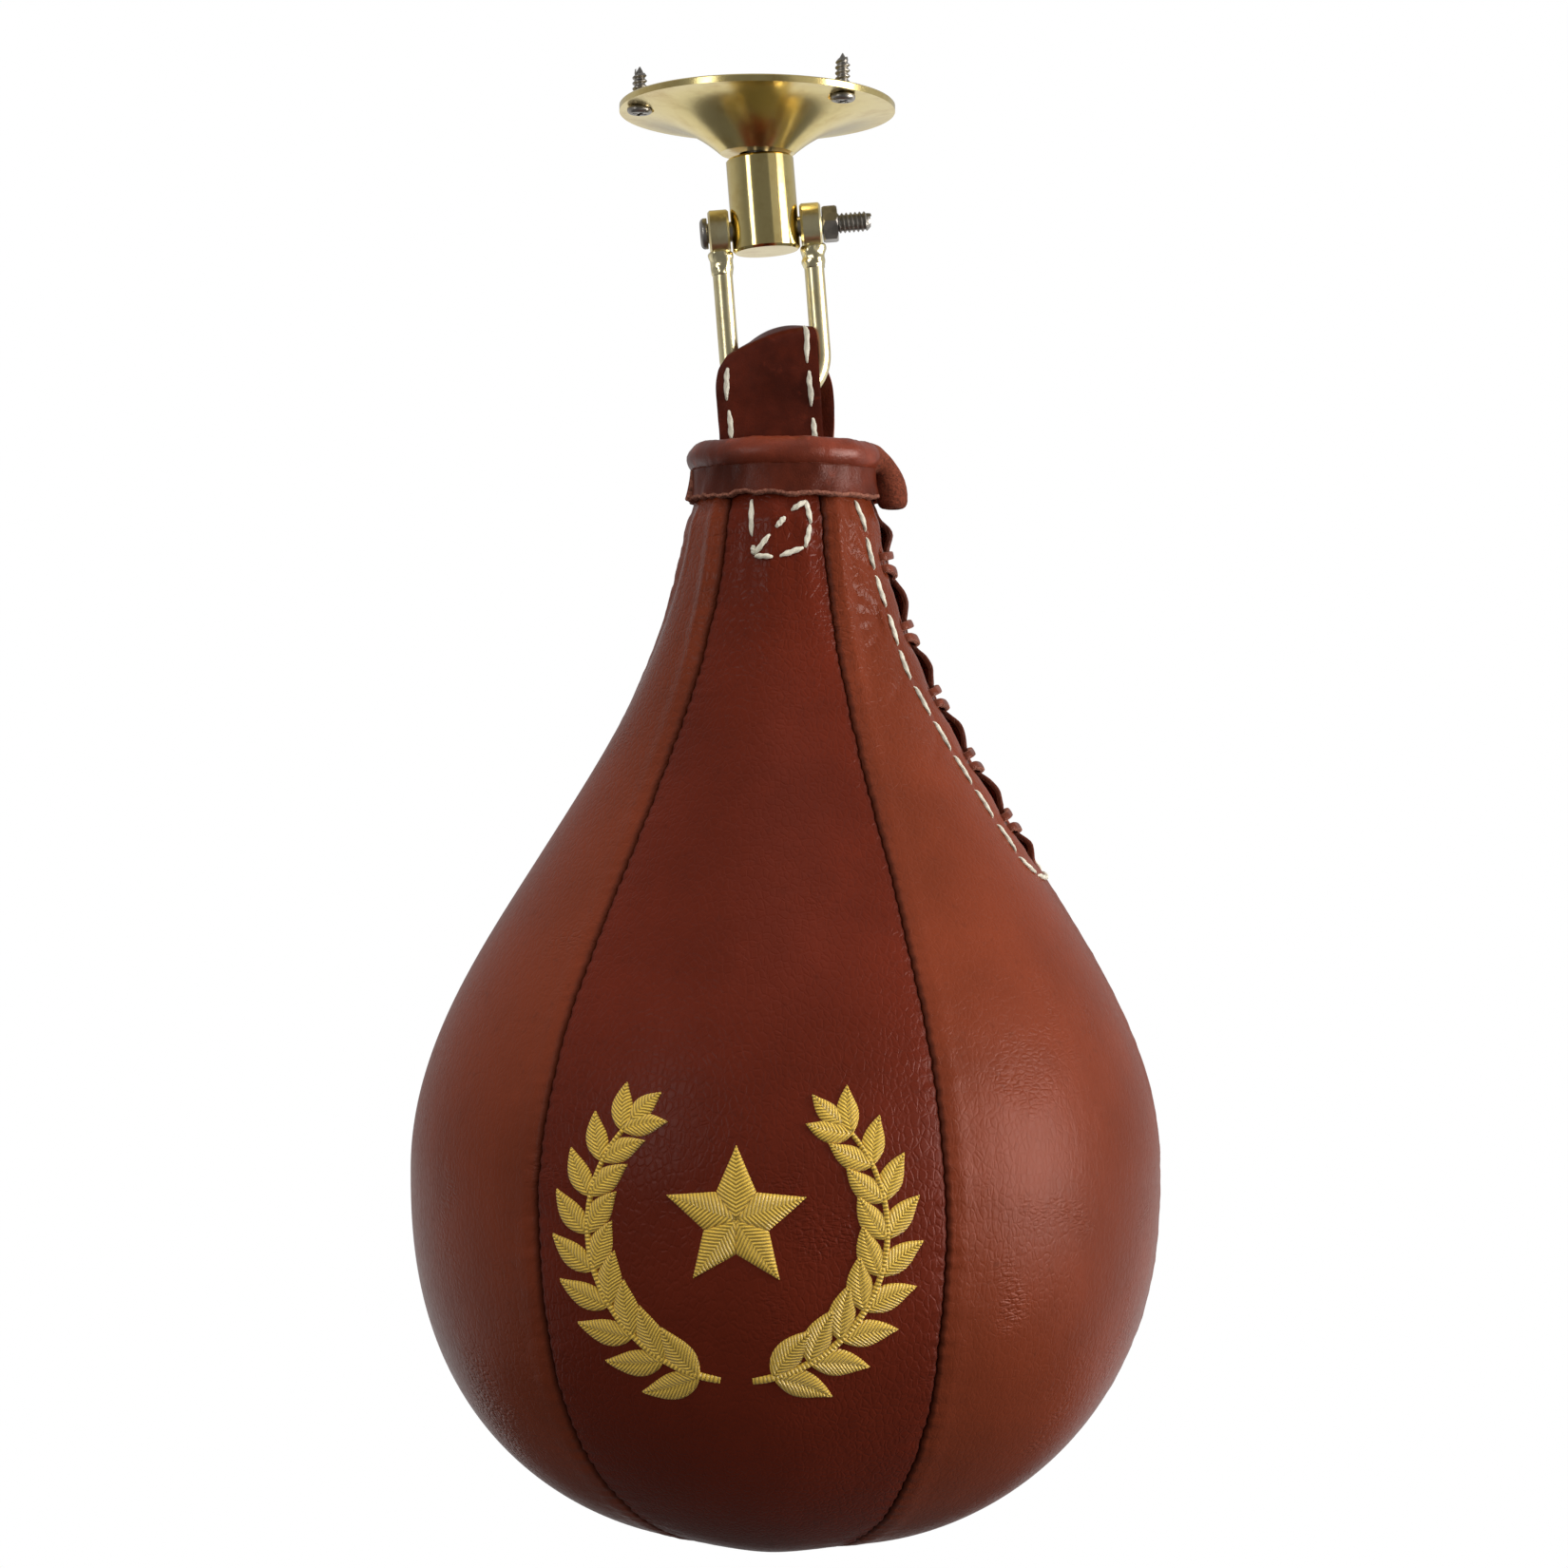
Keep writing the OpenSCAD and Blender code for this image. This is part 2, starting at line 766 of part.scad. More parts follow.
// One unbroken lace: over the opening, down through the front, slanting up behind, and out again
module lace() {
    rings = [for (s = lace_route) lace_ring(s)];
    sides = 4;
    stations = len(rings);
    walls = [
        for (i = [0 : stations - 2], j = [0 : sides - 1])
        let (a = i * sides + j, b = i * sides + (j + 1) % sides)
        each [[a, b, b + sides], [a, b + sides, a + sides]]
    ];
    end = (stations - 1) * sides;
    caps = [[0, 2, 1], [0, 3, 2], [end, end + 1, end + 2], [end, end + 2, end + 3]];
    color(raw_leather)
    hanging()
    polyhedron(points = [for (ring = rings) each ring], faces = concat(walls, caps), convexity = 10);
}

// The part of the skin that lies beside the opening, between two distances from its middle
module opening_strip(top, bottom, near, far, upper, lower) {
    stretch = [
        for (i = [0 : shoulder_steps])
        bezier(shoulder_curve, lower + (upper - lower) * i / shoulder_steps)
    ];
    intersection() {
        rotate([0, 0, lace_dir - 90]) skin_layer(stretch, top, bottom, 180);
        rotate([0, 0, lace_dir])
            translate([0, near, belly_z])
            cube([belly_r, far - near, -belly_z]);
    }
}

module lace_facing(near, far) {
    color(raw_leather)
    hanging()
    difference() {
        opening_strip(-facing_top, -facing_bottom, near, far, 1, slit_end);
        lace_slots();
    }
}

module lace_facing_front() {
    lace_facing(-slit_w / 2 - facing_w, -slit_w / 2);
}

module lace_facing_back() {
    lace_facing(slit_w / 2, slit_w / 2 + facing_w);
}

module lace_tongue() {
    color(oxblood)
    hanging()
    opening_strip(-tongue_top, -tongue_top - tongue_t, -tongue_w / 2, tongue_w / 2, 1, tongue_end);
}

module bladder() {
    crown_inner = [valve_r + fit_gap, bladder_crown.y - bladder_wall];
    color(rubber)
    hanging()
    rotate_extrude()
    polygon(concat(
        [[0, bladder_outer[0].y]],
        bladder_outer,
        [[valve_r + fit_gap, bladder_crown.y], crown_inner],
        [for (i = [len(bladder_inner) - 1 : -1 : 0])
            [bladder_inner[i].x, min(bladder_inner[i].y, crown_inner.y)]],
        [[0, bladder_inner[0].y]]
    ));
}

// A rubber stem in the bladder's crown, with a lip that seats on it
module bladder_valve() {
    color(rubber)
    hanging()
    translate([0, 0, bladder_crown.y])
    rotate_extrude()
    polygon([
        [0, -2 * bladder_wall],
        [valve_r, -2 * bladder_wall],
        [valve_r, 0],
        [valve_lip_r, 0],
        [valve_lip_r, valve_lip_t],
        [valve_r, valve_lip_t],
        [valve_r, valve_h],
        [0, valve_h]
    ]);
}

mounting_flange();
flange_screws();
ball_seat();
ball_stud();
swivel_barrel();
pivot_bolt();
pivot_nut();
bail_rod();
bail_eye_left();
bail_eye_right();
bail_brazing();
panel_front();
panel_front_right();
panel_back_right();
panel_back();
panel_back_left();
panel_front_left();
neck_collar();
hang_loop();
lace();
lace_tongue();
lace_facing_front();
lace_facing_back();
bladder();
bladder_valve();
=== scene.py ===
"""Looks of a lace-up leather speed bag on a brass ball swivel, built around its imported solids."""

import bisect
import functools
import json
import math
from collections import namedtuple

import bmesh
import bpy
from bpy.props import FloatProperty, FloatVectorProperty, IntProperty, PointerProperty
from bpy.types import Operator, Panel, PropertyGroup
from mathutils import Matrix, Vector, noise
from mathutils.bvhtree import BVHTree


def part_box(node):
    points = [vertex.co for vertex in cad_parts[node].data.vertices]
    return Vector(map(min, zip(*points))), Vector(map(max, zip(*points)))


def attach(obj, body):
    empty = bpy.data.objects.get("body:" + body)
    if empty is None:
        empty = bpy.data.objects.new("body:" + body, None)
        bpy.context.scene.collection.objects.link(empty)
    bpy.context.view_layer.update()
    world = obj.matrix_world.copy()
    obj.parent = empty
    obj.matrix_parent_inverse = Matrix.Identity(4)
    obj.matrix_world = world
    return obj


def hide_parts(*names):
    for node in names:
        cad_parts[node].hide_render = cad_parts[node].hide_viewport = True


bl_info = {
    "name": "Speed Bag",
    "version": (1, 0, 0),
    "blender": (4, 5, 0),
    "location": "View3D > Sidebar > Speed Bag",
    "description": "Dresses a lace-up leather speed bag and its brass ball swivel",
    "category": "Object",
}

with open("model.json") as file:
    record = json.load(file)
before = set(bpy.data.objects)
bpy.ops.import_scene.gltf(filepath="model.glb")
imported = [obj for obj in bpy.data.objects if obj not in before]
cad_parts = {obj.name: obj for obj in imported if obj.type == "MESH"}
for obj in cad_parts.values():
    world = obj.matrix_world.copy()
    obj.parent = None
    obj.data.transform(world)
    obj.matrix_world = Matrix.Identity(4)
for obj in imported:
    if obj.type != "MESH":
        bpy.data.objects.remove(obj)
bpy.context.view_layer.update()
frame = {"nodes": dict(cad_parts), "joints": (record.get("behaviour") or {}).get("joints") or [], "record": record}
MM = 0.001

# Each panel's place round the bag, counted from the laced seam
PANEL_PLACES = {
    "panel_back_right": 0,
    "panel_back": 1,
    "panel_back_left": 2,
    "panel_front_left": 3,
    "panel_front": 4,
    "panel_front_right": 5,
}
PANEL_TURN = math.tau / len(PANEL_PLACES)
JOINTS = {joint["name"]: joint for joint in frame["joints"]}
BAG_LOW = [min(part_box(name)[0][i] for name in PANEL_PLACES) for i in range(3)]
BAG_HIGH = [max(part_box(name)[1][i] for name in PANEL_PLACES) for i in range(3)]
LOOP_PIVOT = Vector(JOINTS["loop_swing"]["pos_m"])
BOLT_CENTRE = Vector(JOINTS["bail_swing"]["pos_m"])
BOLT_AXIS = Vector(JOINTS["bail_swing"]["axis"])


def length(name, mm, description):
    """A size in millimetres as a length property."""
    return FloatProperty(
        name=name, description=description, default=mm * MM, unit="LENGTH", subtype="DISTANCE", precision=5
    )


def colour(name, rgb, description):
    """A colour property, in linear light."""
    return FloatVectorProperty(
        name=name, description=description, default=rgb, size=3, min=0, max=1, subtype="COLOR"
    )


def factor(name, value, description):
    """A plain number as a property."""
    return FloatProperty(name=name, description=description, default=value)


def whole(name, value, description):
    """A whole number as a property."""
    return IntProperty(name=name, description=description, default=value)


def rotation(name, degrees, description):
    """An angle property."""
    return FloatProperty(
        name=name, description=description, default=math.radians(degrees), unit="ROTATION", subtype="ANGLE"
    )


class SPEEDBAG_PG_bag(PropertyGroup):
    """Sizes of the sewn bag."""

    belly_drop: length("Belly drop", 164.8, "Height from the mouth down to the widest level")
    belly_pull: length("Belly pull", 51, "How far the shoulder stays upright above the belly")
    neck_drop: length("Neck drop", 12.8, "Height from the mouth down to the neck")
    neck_width: length("Neck width", 46, "Diameter of the neck")
    neck_flare: length("Neck flare", 8.5, "How far the shoulder spreads below the neck")
    neck_pull: length("Neck pull", 60, "How far the neck runs on below itself")
    mouth_width: length("Mouth width", 40.8, "Diameter of the mouth, inside the collar")
    mouth_height: length("Mouth height", 5.7, "Height of the straight part of the mouth")
    fullness: factor("Fullness", 2.35, "Fullness of the bottom, 2 for an ellipse")
    leather: length("Leather", 1.5, "Thickness of the panels")
    seam_roll: length("Seam roll", 1.1, "Radius of a panel's edge where it turns into a seam")
    seam_depth: length("Seam depth", 2.0, "How far a panel's edge goes into a seam")
    stitch_pitch: length("Seam pitch", 3.4, "Distance between the stitches of a seam")
    pucker: length("Pucker", 0.42, "Depth of the puckers along a seam")
    welt: length("Welt", 0.20, "Height of the ridge beside a seam")
    gather: length("Gather", 0.55, "Height of the folds gathered at the neck")
    crown: length("Crown", 0.7, "How far a panel swells between its seams")
    columns: whole("Columns", 92, "Faces across a panel")
    rows: whole("Rows", 330, "Rows of points up a panel")


class SPEEDBAG_PG_lacing(PropertyGroup):
    """Sizes of the laced opening."""

    direction: rotation("Direction", -7.4, "Direction of the laced seam from the X axis")
    slit_end: factor("Slit end", 0.488, "Height of the opening's end on the shoulder")
    slit_width: length("Slit width", 4.4, "Width of the opening")
    first: factor("First crossing", 0.56, "Height of the lowest crossing")
    step: factor("Step", 0.097, "Height from one crossing to the next")
    crossings: whole("Crossings", 5, "How often the lace crosses")
    width: length("Lace width", 1.9, "Width of each strand of the lace")
    thickness: length("Lace thickness", 1.4, "Thickness of the lace")
    reach: length("Reach", 6, "Distance of the lace holes from the opening")
    bend: length("Bend", 1.5, "Radius of the lace's bends")
    over: length("Over", 0.62, "Height of the lace over the leather")
    under: length("Under", 4.45, "Depth of the lace under the leather")


class SPEEDBAG_PG_neck(PropertyGroup):
    """Sizes of the collar and the hanging loop."""

    roll_width: length("Roll", 7.2, "Diameter of the collar's roll")
    ring_width: length("Ring", 40.6, "Diameter of the ring that the roll lies on")
    roll_rise: length("Roll rise", 3.0, "Height of the roll's middle above the mouth")
    band_height: length("Band", 7.0, "Height of the collar's band below the mouth")
    band_width: length("Band width", 43.6, "Diameter of the collar's band, in the middle of its leather")
    band_leather: length("Band leather", 1.7, "Thickness of the band")
    opening: rotation("Opening", 26, "Angle over which the collar is open at the lacing")
    strap_leather: length("Strap leather", 2.4, "Thickness of the hanging loop's strap")


class SPEEDBAG_PG_thread(PropertyGroup):
    """Sizes of the stitches and the embroidery."""

    stitch: length("Stitch", 8.8, "Length of a saddle stitch")
    gap: length("Gap", 0.6, "Gap between two stitches")
    width: length("Thread", 1.3, "Width of the saddle thread")
    wreath: length("Wreath", 33, "Radius of the embroidered wreath")
    wreath_drop: length("Wreath drop", 168, "Height from the mouth down to the wreath's middle")


class SPEEDBAG_PG_colours(PropertyGroup):
    """Colours of the finishes."""

    panel: colour("Panel", (0.183, 0.033, 0.0118), "Leather of the side panels")
    # The front panel's leather is darker and redder than the side panels': its darkness is partly painted shade
    # for the panel that faces away from the lamps
    front: colour("Front panel", (0.130, 0.0165, 0.006), "Leather of the front panel")
    strap: colour("Strap", (0.085, 0.012, 0.0045), "Leather of the hanging loop")
    collar: colour("Collar", (0.168, 0.0285, 0.0118), "Leather of the rolled collar")
    lace: colour("Lace", (0.170, 0.038, 0.018), "Grain side of the lace")
    raw: colour("Raw leather", (0.330, 0.125, 0.082), "Cut edges and suede")
    suede: colour("Suede", (0.200, 0.042, 0.019), "End of the rolled collar")
    cream: colour("Cream thread", (0.800, 0.740, 0.590), "Saddle stitches")
    gold: colour("Gold thread", (0.950, 0.570, 0.065), "Embroidery")
    brass: colour("Brass", (0.830, 0.680, 0.300), "Flange and barrel")
    drawn: colour("Drawn brass", (0.900, 0.800, 0.490), "Rod and eyes of the bail")
    steel: colour("Steel", (0.380, 0.355, 0.320), "Bolt, nut and screws")
    rubber: colour("Rubber", (0.030, 0.030, 0.032), "Bladder")


class SPEEDBAG_PG_stage(PropertyGroup):
    """Camera, lamps and floor."""

    distance: length("Distance", 727, "Distance of the camera from the swivel's axis")
    camera_x: length("Camera X", 6.4, "Sideways place of the camera")
    camera_z: length("Camera Z", -162.5, "Height of the camera")
    lens: factor("Lens", 69.69, "Focal length in millimetres on a 36 mm sensor")
    ambient: factor("Ambient", 0.42, "Strength of the light from all round")
    front_glow: factor("Front", 0.16, "Brightness reflected from in front")
    back_glow: factor("Back", 0.80, "Brightness reflected from behind")
    floor_z: length("Floor", -980, "Height of the floor")


class SPEEDBAG_PG_settings(PropertyGroup):
    """Everything a user may change."""

    bag: PointerProperty(type=SPEEDBAG_PG_bag)
    lacing: PointerProperty(type=SPEEDBAG_PG_lacing)
    neck: PointerProperty(type=SPEEDBAG_PG_neck)
    thread: PointerProperty(type=SPEEDBAG_PG_thread)
    colours: PointerProperty(type=SPEEDBAG_PG_colours)
    stage: PointerProperty(type=SPEEDBAG_PG_stage)


def ease(x):
    """A smooth step from 0 to 1."""
    x = min(1.0, max(0.0, x))
    return x * x * (3 - 2 * x)


def bell(x, width):
    """A smooth bump of height 1 round 0."""
    return math.exp(-((x / width) ** 2))


def wander(x, y, z):
    """Smooth noise about 0."""
    return noise.noise(Vector((x, y, z)))


def axes(point, x, y, z):
    """A matrix with these columns."""
    return Matrix((
        (x.x, y.x, z.x, point.x),
        (x.y, y.y, z.y, point.y),
        (x.z, y.z, z.z, point.z),
        (0, 0, 0, 1),
    ))


def sized(matrix, x, y, z=1.0):
    """A matrix whose columns are stretched."""
    return matrix @ Matrix.Diagonal((x, y, z, 1))


Row = namedtuple("Row", "s r z out up u")


class Skin:
    """The bag's outline as rows from its bottom to its mouth, and places on its shoulder.

    A row has its distance along the outline, its radius and height, its outward normal and its
    height u on the shoulder, which runs from 0 at the belly to 1 at the neck.
    """

    # Where the outline starts beside the pole, its steps, and the step of u that gives a slope
    POLE = math.radians(0.3)
    STEPS = 90
    NEARBY = 0.001

    def __init__(self, settings):
        bag = settings.bag
        self.direction = settings.lacing.direction
        self.axis = Vector(((BAG_LOW[0] + BAG_HIGH[0]) / 2, (BAG_LOW[1] + BAG_HIGH[1]) / 2, 0))
        self.mouth_z = BAG_HIGH[2]
        self.belly_r = (BAG_HIGH[1] - BAG_LOW[1]) / 2
        self.belly_z = self.mouth_z - bag.belly_drop
        self.neck_z = self.mouth_z - bag.neck_drop
        self.curve = (
            Vector((self.belly_r, self.belly_z)),
            Vector((self.belly_r, self.belly_z + bag.belly_pull)),
            Vector((bag.neck_width / 2 + bag.neck_flare, self.neck_z - bag.neck_pull)),
            Vector((bag.neck_width / 2, self.neck_z)),
        )
        self.rows = self.spaced(self.outline(bag), bag.rows)

    def shoulder(self, u):
        """Radius and height on the shoulder."""
        a, b, c, d = self.curve
        v = 1 - u
        return v ** 3 * a + 3 * u * v * v * b + 3 * u * u * v * c + u ** 3 * d

    def outline(self, bag):
        """Radius, height and u, close together, from the bottom up."""
        bottom = self.belly_z - BAG_LOW[2]
        power = 2 / bag.fullness
        points = []
        for i in range(self.STEPS):
            a = self.POLE + (math.pi / 2 - self.POLE) * i / self.STEPS
            points.append((
                self.belly_r * math.sin(a) ** power,
                self.belly_z - bottom * math.cos(a) ** power,
                i / self.STEPS - 1,
            ))
        for i in range(self.STEPS + 1):
            u = i / self.STEPS
            points.append((*self.shoulder(u), u))
        points.append((bag.mouth_width / 2, self.mouth_z - bag.mouth_height, 1.05))
        points.append((bag.mouth_width / 2, self.mouth_z, 1.1))
        return points

    @staticmethod
    def spaced(points, count):
        """Rows at even distances along the outline."""
        runs = [0.0]
        for a, b in zip(points, points[1:]):
            runs.append(runs[-1] + math.hypot(b[0] - a[0], b[1] - a[1]))
        spots, k = [], 0
        for i in range(count):
            s = runs[-1] * i / (count - 1)
            while k < len(runs) - 2 and runs[k + 1] < s:
                k += 1
            f = (s - runs[k]) / (runs[k + 1] - runs[k])
            spots.append((s, *(a + (b - a) * f for a, b in zip(points[k], points[k + 1]))))
        rows = []
        for i, (s, r, z, u) in enumerate(spots):
            low, high = spots[max(i - 2, 0)], spots[min(i + 2, count - 1)]
            run = math.hypot(high[1] - low[1], high[2] - low[2])
            rows.append(Row(s, r, z, (high[2] - low[2]) / run, (low[1] - high[1]) / run, u))
        return rows

    def place(self, row, turn, lift):
        """The point of a row at a turn round the bag, lifted off the skin."""
        r = row.r + lift * row.out
        return Vector((
            self.axis.x + r * math.cos(turn), self.axis.y + r * math.sin(turn), row.z + lift * row.up
        ))

    def beside_lacing(self, u, away, lift):
        """A frame on the shoulder: X round the bag, Y off the skin, Z up along it."""
        r, z = self.shoulder(u)
        along = self.shoulder(u + self.NEARBY) - self.shoulder(u - self.NEARBY)
        along.normalize()
        turn = self.direction + away / r
        round_ = Vector((-math.sin(turn), math.cos(turn), 0))
        outward = Vector((math.cos(turn), math.sin(turn), 0))
        off = outward * along.y - Vector((0, 0, along.x))
        up = outward * along.x + Vector((0, 0, along.y))
        point = Vector((self.axis.x, self.axis.y, z)) + outward * r + off * lift
        return axes(point, round_, off, up)


class Value:
    """A socket in a finish. Arithmetic on it adds Math nodes."""

    def __init__(self, finish, socket):
        self.finish = finish
        self.socket = socket

    def math(self, operation, *values):
        return self.finish.add("ShaderNodeMath", {"operation": operation}, dict(enumerate(values)))

    def __add__(self, other):
        return self.math("ADD", self, other)

    def __radd__(self, other):
        return self.math("ADD", other, self)

    def __sub__(self, other):
        return self.math("SUBTRACT", self, other)

    def __rsub__(self, other):
        return self.math("SUBTRACT", other, self)

    def __mul__(self, other):
        return self.math("MULTIPLY", self, other)

    def __rmul__(self, other):
        return self.math("MULTIPLY", other, self)

    def sine(self):
        return self.math("SINE", self)

    def between(self, low, high):
        """0 at low, 1 at high, smooth between them and level outside."""
        return self.finish.add(
            "ShaderNodeMapRange", {"interpolation_type": "SMOOTHSTEP"},
            {"Value": self, "From Min": low, "From Max": high},
        )


class Nodes:
    """A node tree that starts empty."""

    def __init__(self, owner):
        owner.use_nodes = True
        self.tree = owner.node_tree
        self.tree.nodes.clear()

    def add(self, kind, settings=None, sockets=None, out=0):
        """Adds a node with its settings and socket values, and gives one of its outputs."""
        node = self.tree.nodes.new(kind)
        for key, value in (settings or {}).items():
            setattr(node, key, value)
        for key, value in (sockets or {}).items():
            self.feed(node.inputs[key], value)
        return Value(self, node.outputs[out]) if len(node.outputs) else None

    def feed(self, socket, value):
        """Links a value to a socket, or sets a number or colour on it."""
        if isinstance(value, Value):
            self.tree.links.new(value.socket, socket)
        else:
            socket.default_value = value


class Finish(Nodes):
    """A material round one Principled shader, whose constant sockets are set at once."""

    def __init__(self, name, **constants):
        self.material = bpy.data.materials.new(name)
        super().__init__(self.material)
        self.shader = self.tree.nodes.new("ShaderNodeBsdfPrincipled")
        output = self.tree.nodes.new("ShaderNodeOutputMaterial")
        self.tree.links.new(self.shader.outputs["BSDF"], output.inputs["Surface"])
        for socket, value in constants.items():
            self.shader.inputs[socket.replace("_", " ")].default_value = value

    def place(self, stretch=(1, 1, 1)):
        """Object coordinates, stretched."""
        spot = self.add("ShaderNodeTexCoord", out="Object")
        return self.add("ShaderNodeMapping", sockets={"Vector": spot, "Scale": stretch})

    def cloud(self, place, scale, detail=3.0, rough=0.55):
        """Noise from 0 to 1."""
        return self.add(
            "ShaderNodeTexNoise",
            sockets={"Vector": place, "Scale": scale, "Detail": detail, "Roughness": rough},
        )

    def pebbles(self, place, scale):
        """Distance from the creases between cells."""
        return self.add(
            "ShaderNodeTexVoronoi", {"feature": "DISTANCE_TO_EDGE"},
            {"Vector": place, "Scale": scale}, out="Distance",
        )

    def shifted(self, place, amount, scale):
        """Coordinates moved about by noise, so that a pattern isn't even."""
        drift = self.add("ShaderNodeTexNoise", sockets={"Vector": place, "Scale": scale}, out="Color")
        drift = self.add("ShaderNodeVectorMath", {"operation": "SUBTRACT"}, {0: drift, 1: (0.5, 0.5, 0.5)})
        drift = self.add("ShaderNodeVectorMath", {"operation": "SCALE"}, {0: drift, "Scale": amount})
        return self.add("ShaderNodeVectorMath", {"operation": "ADD"}, {0: place, 1: drift})

    def mix(self, first, second, share):
        """A colour between two."""
        first, second = (c if isinstance(c, Value) else (*c, 1.0) for c in (first, second))
        return self.add(
            "ShaderNodeMix", {"data_type": "RGBA", "clamp_factor": True},
            {0: share, 6: first, 7: second}, out=2,
        )

    def surface(self, colour, roughness, height=None, depth=0.0002, strength=1.0):
        """Feeds the shader and gives the finished material."""
        self.feed(self.shader.inputs["Base Color"], colour)
        self.feed(self.shader.inputs["Roughness"], roughness)
        if height is not None:
            bump = self.add(
                "ShaderNodeBump",
                sockets={"Height": height, "Distance": depth, "Strength": strength}, out="Normal",
            )
            self.feed(self.shader.inputs["Normal"], bump)
        return self.material


def shade(rgb, factor):
    """A colour made darker or lighter."""
    return tuple(min(1.0, c * factor) for c in rgb)


def panel_finish(name, rgb, gloss, drawn):
    """Panel leather: blotched, pebbled, creased where it flexed, wrinkled low down, and darkened in its seams and
    at the lace holes with painted shade and burnish.
    """
    f = Finish(name, Specular_IOR_Level=0.13, IOR=1.45)
    place = f.place()
    blotch = f.cloud(place, 16, 5, 0.6)
    speck = f.cloud(place, 420, 2)
    worn = f.cloud(f.place((1, 1, 0.35)), 60, 4, 0.65)
    seam = f.add("ShaderNodeAttribute", {"attribute_name": "seam"}, out="Fac")
    tone = f.mix(shade(rgb, 0.84), shade(rgb, 1.16), blotch.between(0.32, 0.70))
    tone = f.mix(tone, shade(rgb, 1.5), worn.between(0.56, 0.80) * 0.30)
    tone = f.mix(tone, shade(rgb, 0.55), speck.between(0.60, 0.78) * 0.30)
    # Painted shade with burnish: darker in the seams' grooves and round the lace holes, from the seam attribute
    tone = f.mix(tone, shade(rgb, 0.30), seam * 0.80)
    grain = f.pebbles(f.shifted(f.place((1, 1, 0.65)), 0.0016, 300), 680).between(0.0, 0.20)
    level = f.add("ShaderNodeSeparateXYZ", sockets={"Vector": place}, out="Z")
    drawn = drawn * (1 - level.between(-0.215, -0.150))
    wrinkle = f.cloud(f.shifted(f.place((1, 1, 0.16)), 0.004, 60), 420, 5, 0.62)
    fine = f.cloud(f.place((1, 1, 0.6)), 1500, 2)
    flexed = f.cloud(place, 34, 2).between(0.54, 0.70)
    crease = f.pebbles(f.shifted(f.place((1, 1, 2.2)), 0.003, 120), 430).between(0.0, 0.28)
    neck = level.between(-0.17, -0.11)
    height = grain * (1 - drawn * 0.6) * 0.85 + wrinkle * drawn * 1.5 + fine * 0.25
    height = height + crease * flexed * 1.3
    rough = gloss + blotch * 0.12 + speck * 0.08 - grain * 0.05 + seam * 0.2 - neck * 0.09
    return f.surface(tone, rough, height, 0.00013, 0.62)


def strap_finish(name, rgb, specular=0.16):
    """Waxed strap leather: dark, smooth, with fine grain and rubbed high spots."""
    f = Finish(name, Specular_IOR_Level=specular, IOR=1.46)
    place = f.place()
    blotch = f.cloud(place, 55, 5, 0.62)
    rub = f.cloud(place, 190, 4, 0.7)
    tone = f.mix(shade(rgb, 0.6), shade(rgb, 1.5), blotch.between(0.3, 0.72))
    tone = f.mix(tone, shade(rgb, 2.8), rub.between(0.58, 0.80) * 0.5)
    grain = f.pebbles(f.shifted(place, 0.0012, 420), 1150).between(0.0, 0.2)
    wrinkle = f.cloud(f.shifted(place, 0.003, 90), 330, 5, 0.65)
    height = grain * 0.35 + wrinkle * 0.9
    return f.surface(tone, 0.24 + rub * 0.2, height, 0.0001, 0.6)


def raw_finish(name, rgb):
    """Cut edges and suede: dull, fibrous and uneven."""
    f = Finish(
        name, Specular_IOR_Level=0.12,
        Sheen_Weight=0.15, Sheen_Roughness=0.6, Sheen_Tint=(1.0, 0.5, 0.36, 1.0),
    )
    place = f.place()
    nap = f.cloud(f.shifted(place, 0.002, 400), 1600, 4, 0.7)
    patch = f.cloud(place, 210, 4, 0.65)
    tone = f.mix(shade(rgb, 0.42), shade(rgb, 1.35), nap.between(0.3, 0.72))
    tone = f.mix(tone, shade(rgb, 0.30), patch.between(0.52, 0.75) * 0.7)
    return f.surface(tone, 0.86 + nap * 0.1, nap + patch * 0.6, 0.0005, 0.9)


def cream_finish(name, rgb):
    """Waxed thread, soiled in places."""
    f = Finish(name, Specular_IOR_Level=0.3, Sheen_Weight=0.15)
    place = f.place()
    soil = f.cloud(place, 130, 4, 0.65)
    fibre = f.cloud(place, 3200, 2)
    tone = f.mix(rgb, shade(rgb, 0.55), soil.between(0.45, 0.75))
    tone = f.mix(tone, shade(rgb, 0.72), fibre.between(0.5, 0.8) * 0.6)
    return f.surface(tone, 0.58 + fibre * 0.2, fibre, 0.00012, 0.7)


# Pitch of the embroidery's threads, in millimetres
THREAD_PITCH = 0.85


def gold_finish(name, rgb):
    """Satin stitch: threads side by side across each patch, from its own map, with painted shade in the valleys
    between them.
    """
    f = Finish(name, Specular_IOR_Level=0.5, Sheen_Weight=0.2)
    lay = f.add("ShaderNodeUVMap", {"uv_map": "lay"})
    along = f.add("ShaderNodeSeparateXYZ", sockets={"Vector": lay}, out="X")
    place = f.place()
    drift = f.cloud(place, 900, 2)
    strand = (along * (math.tau / THREAD_PITCH) + drift * 2.0).sine() * 0.5 + 0.5
    fray = f.cloud(place, 2600, 2)
    # Darker between the threads: painted shade in the valleys of the satin stitch
    tone = f.mix(shade(rgb, 0.42), shade(rgb, 1.12), strand.between(0.0, 0.45))
    tone = f.mix(tone, shade(rgb, 0.6), fray.between(0.55, 0.8) * 0.45)
    return f.surface(tone, 0.50 - strand * 0.16, strand + fray * 0.3, 0.00030, 0.9)


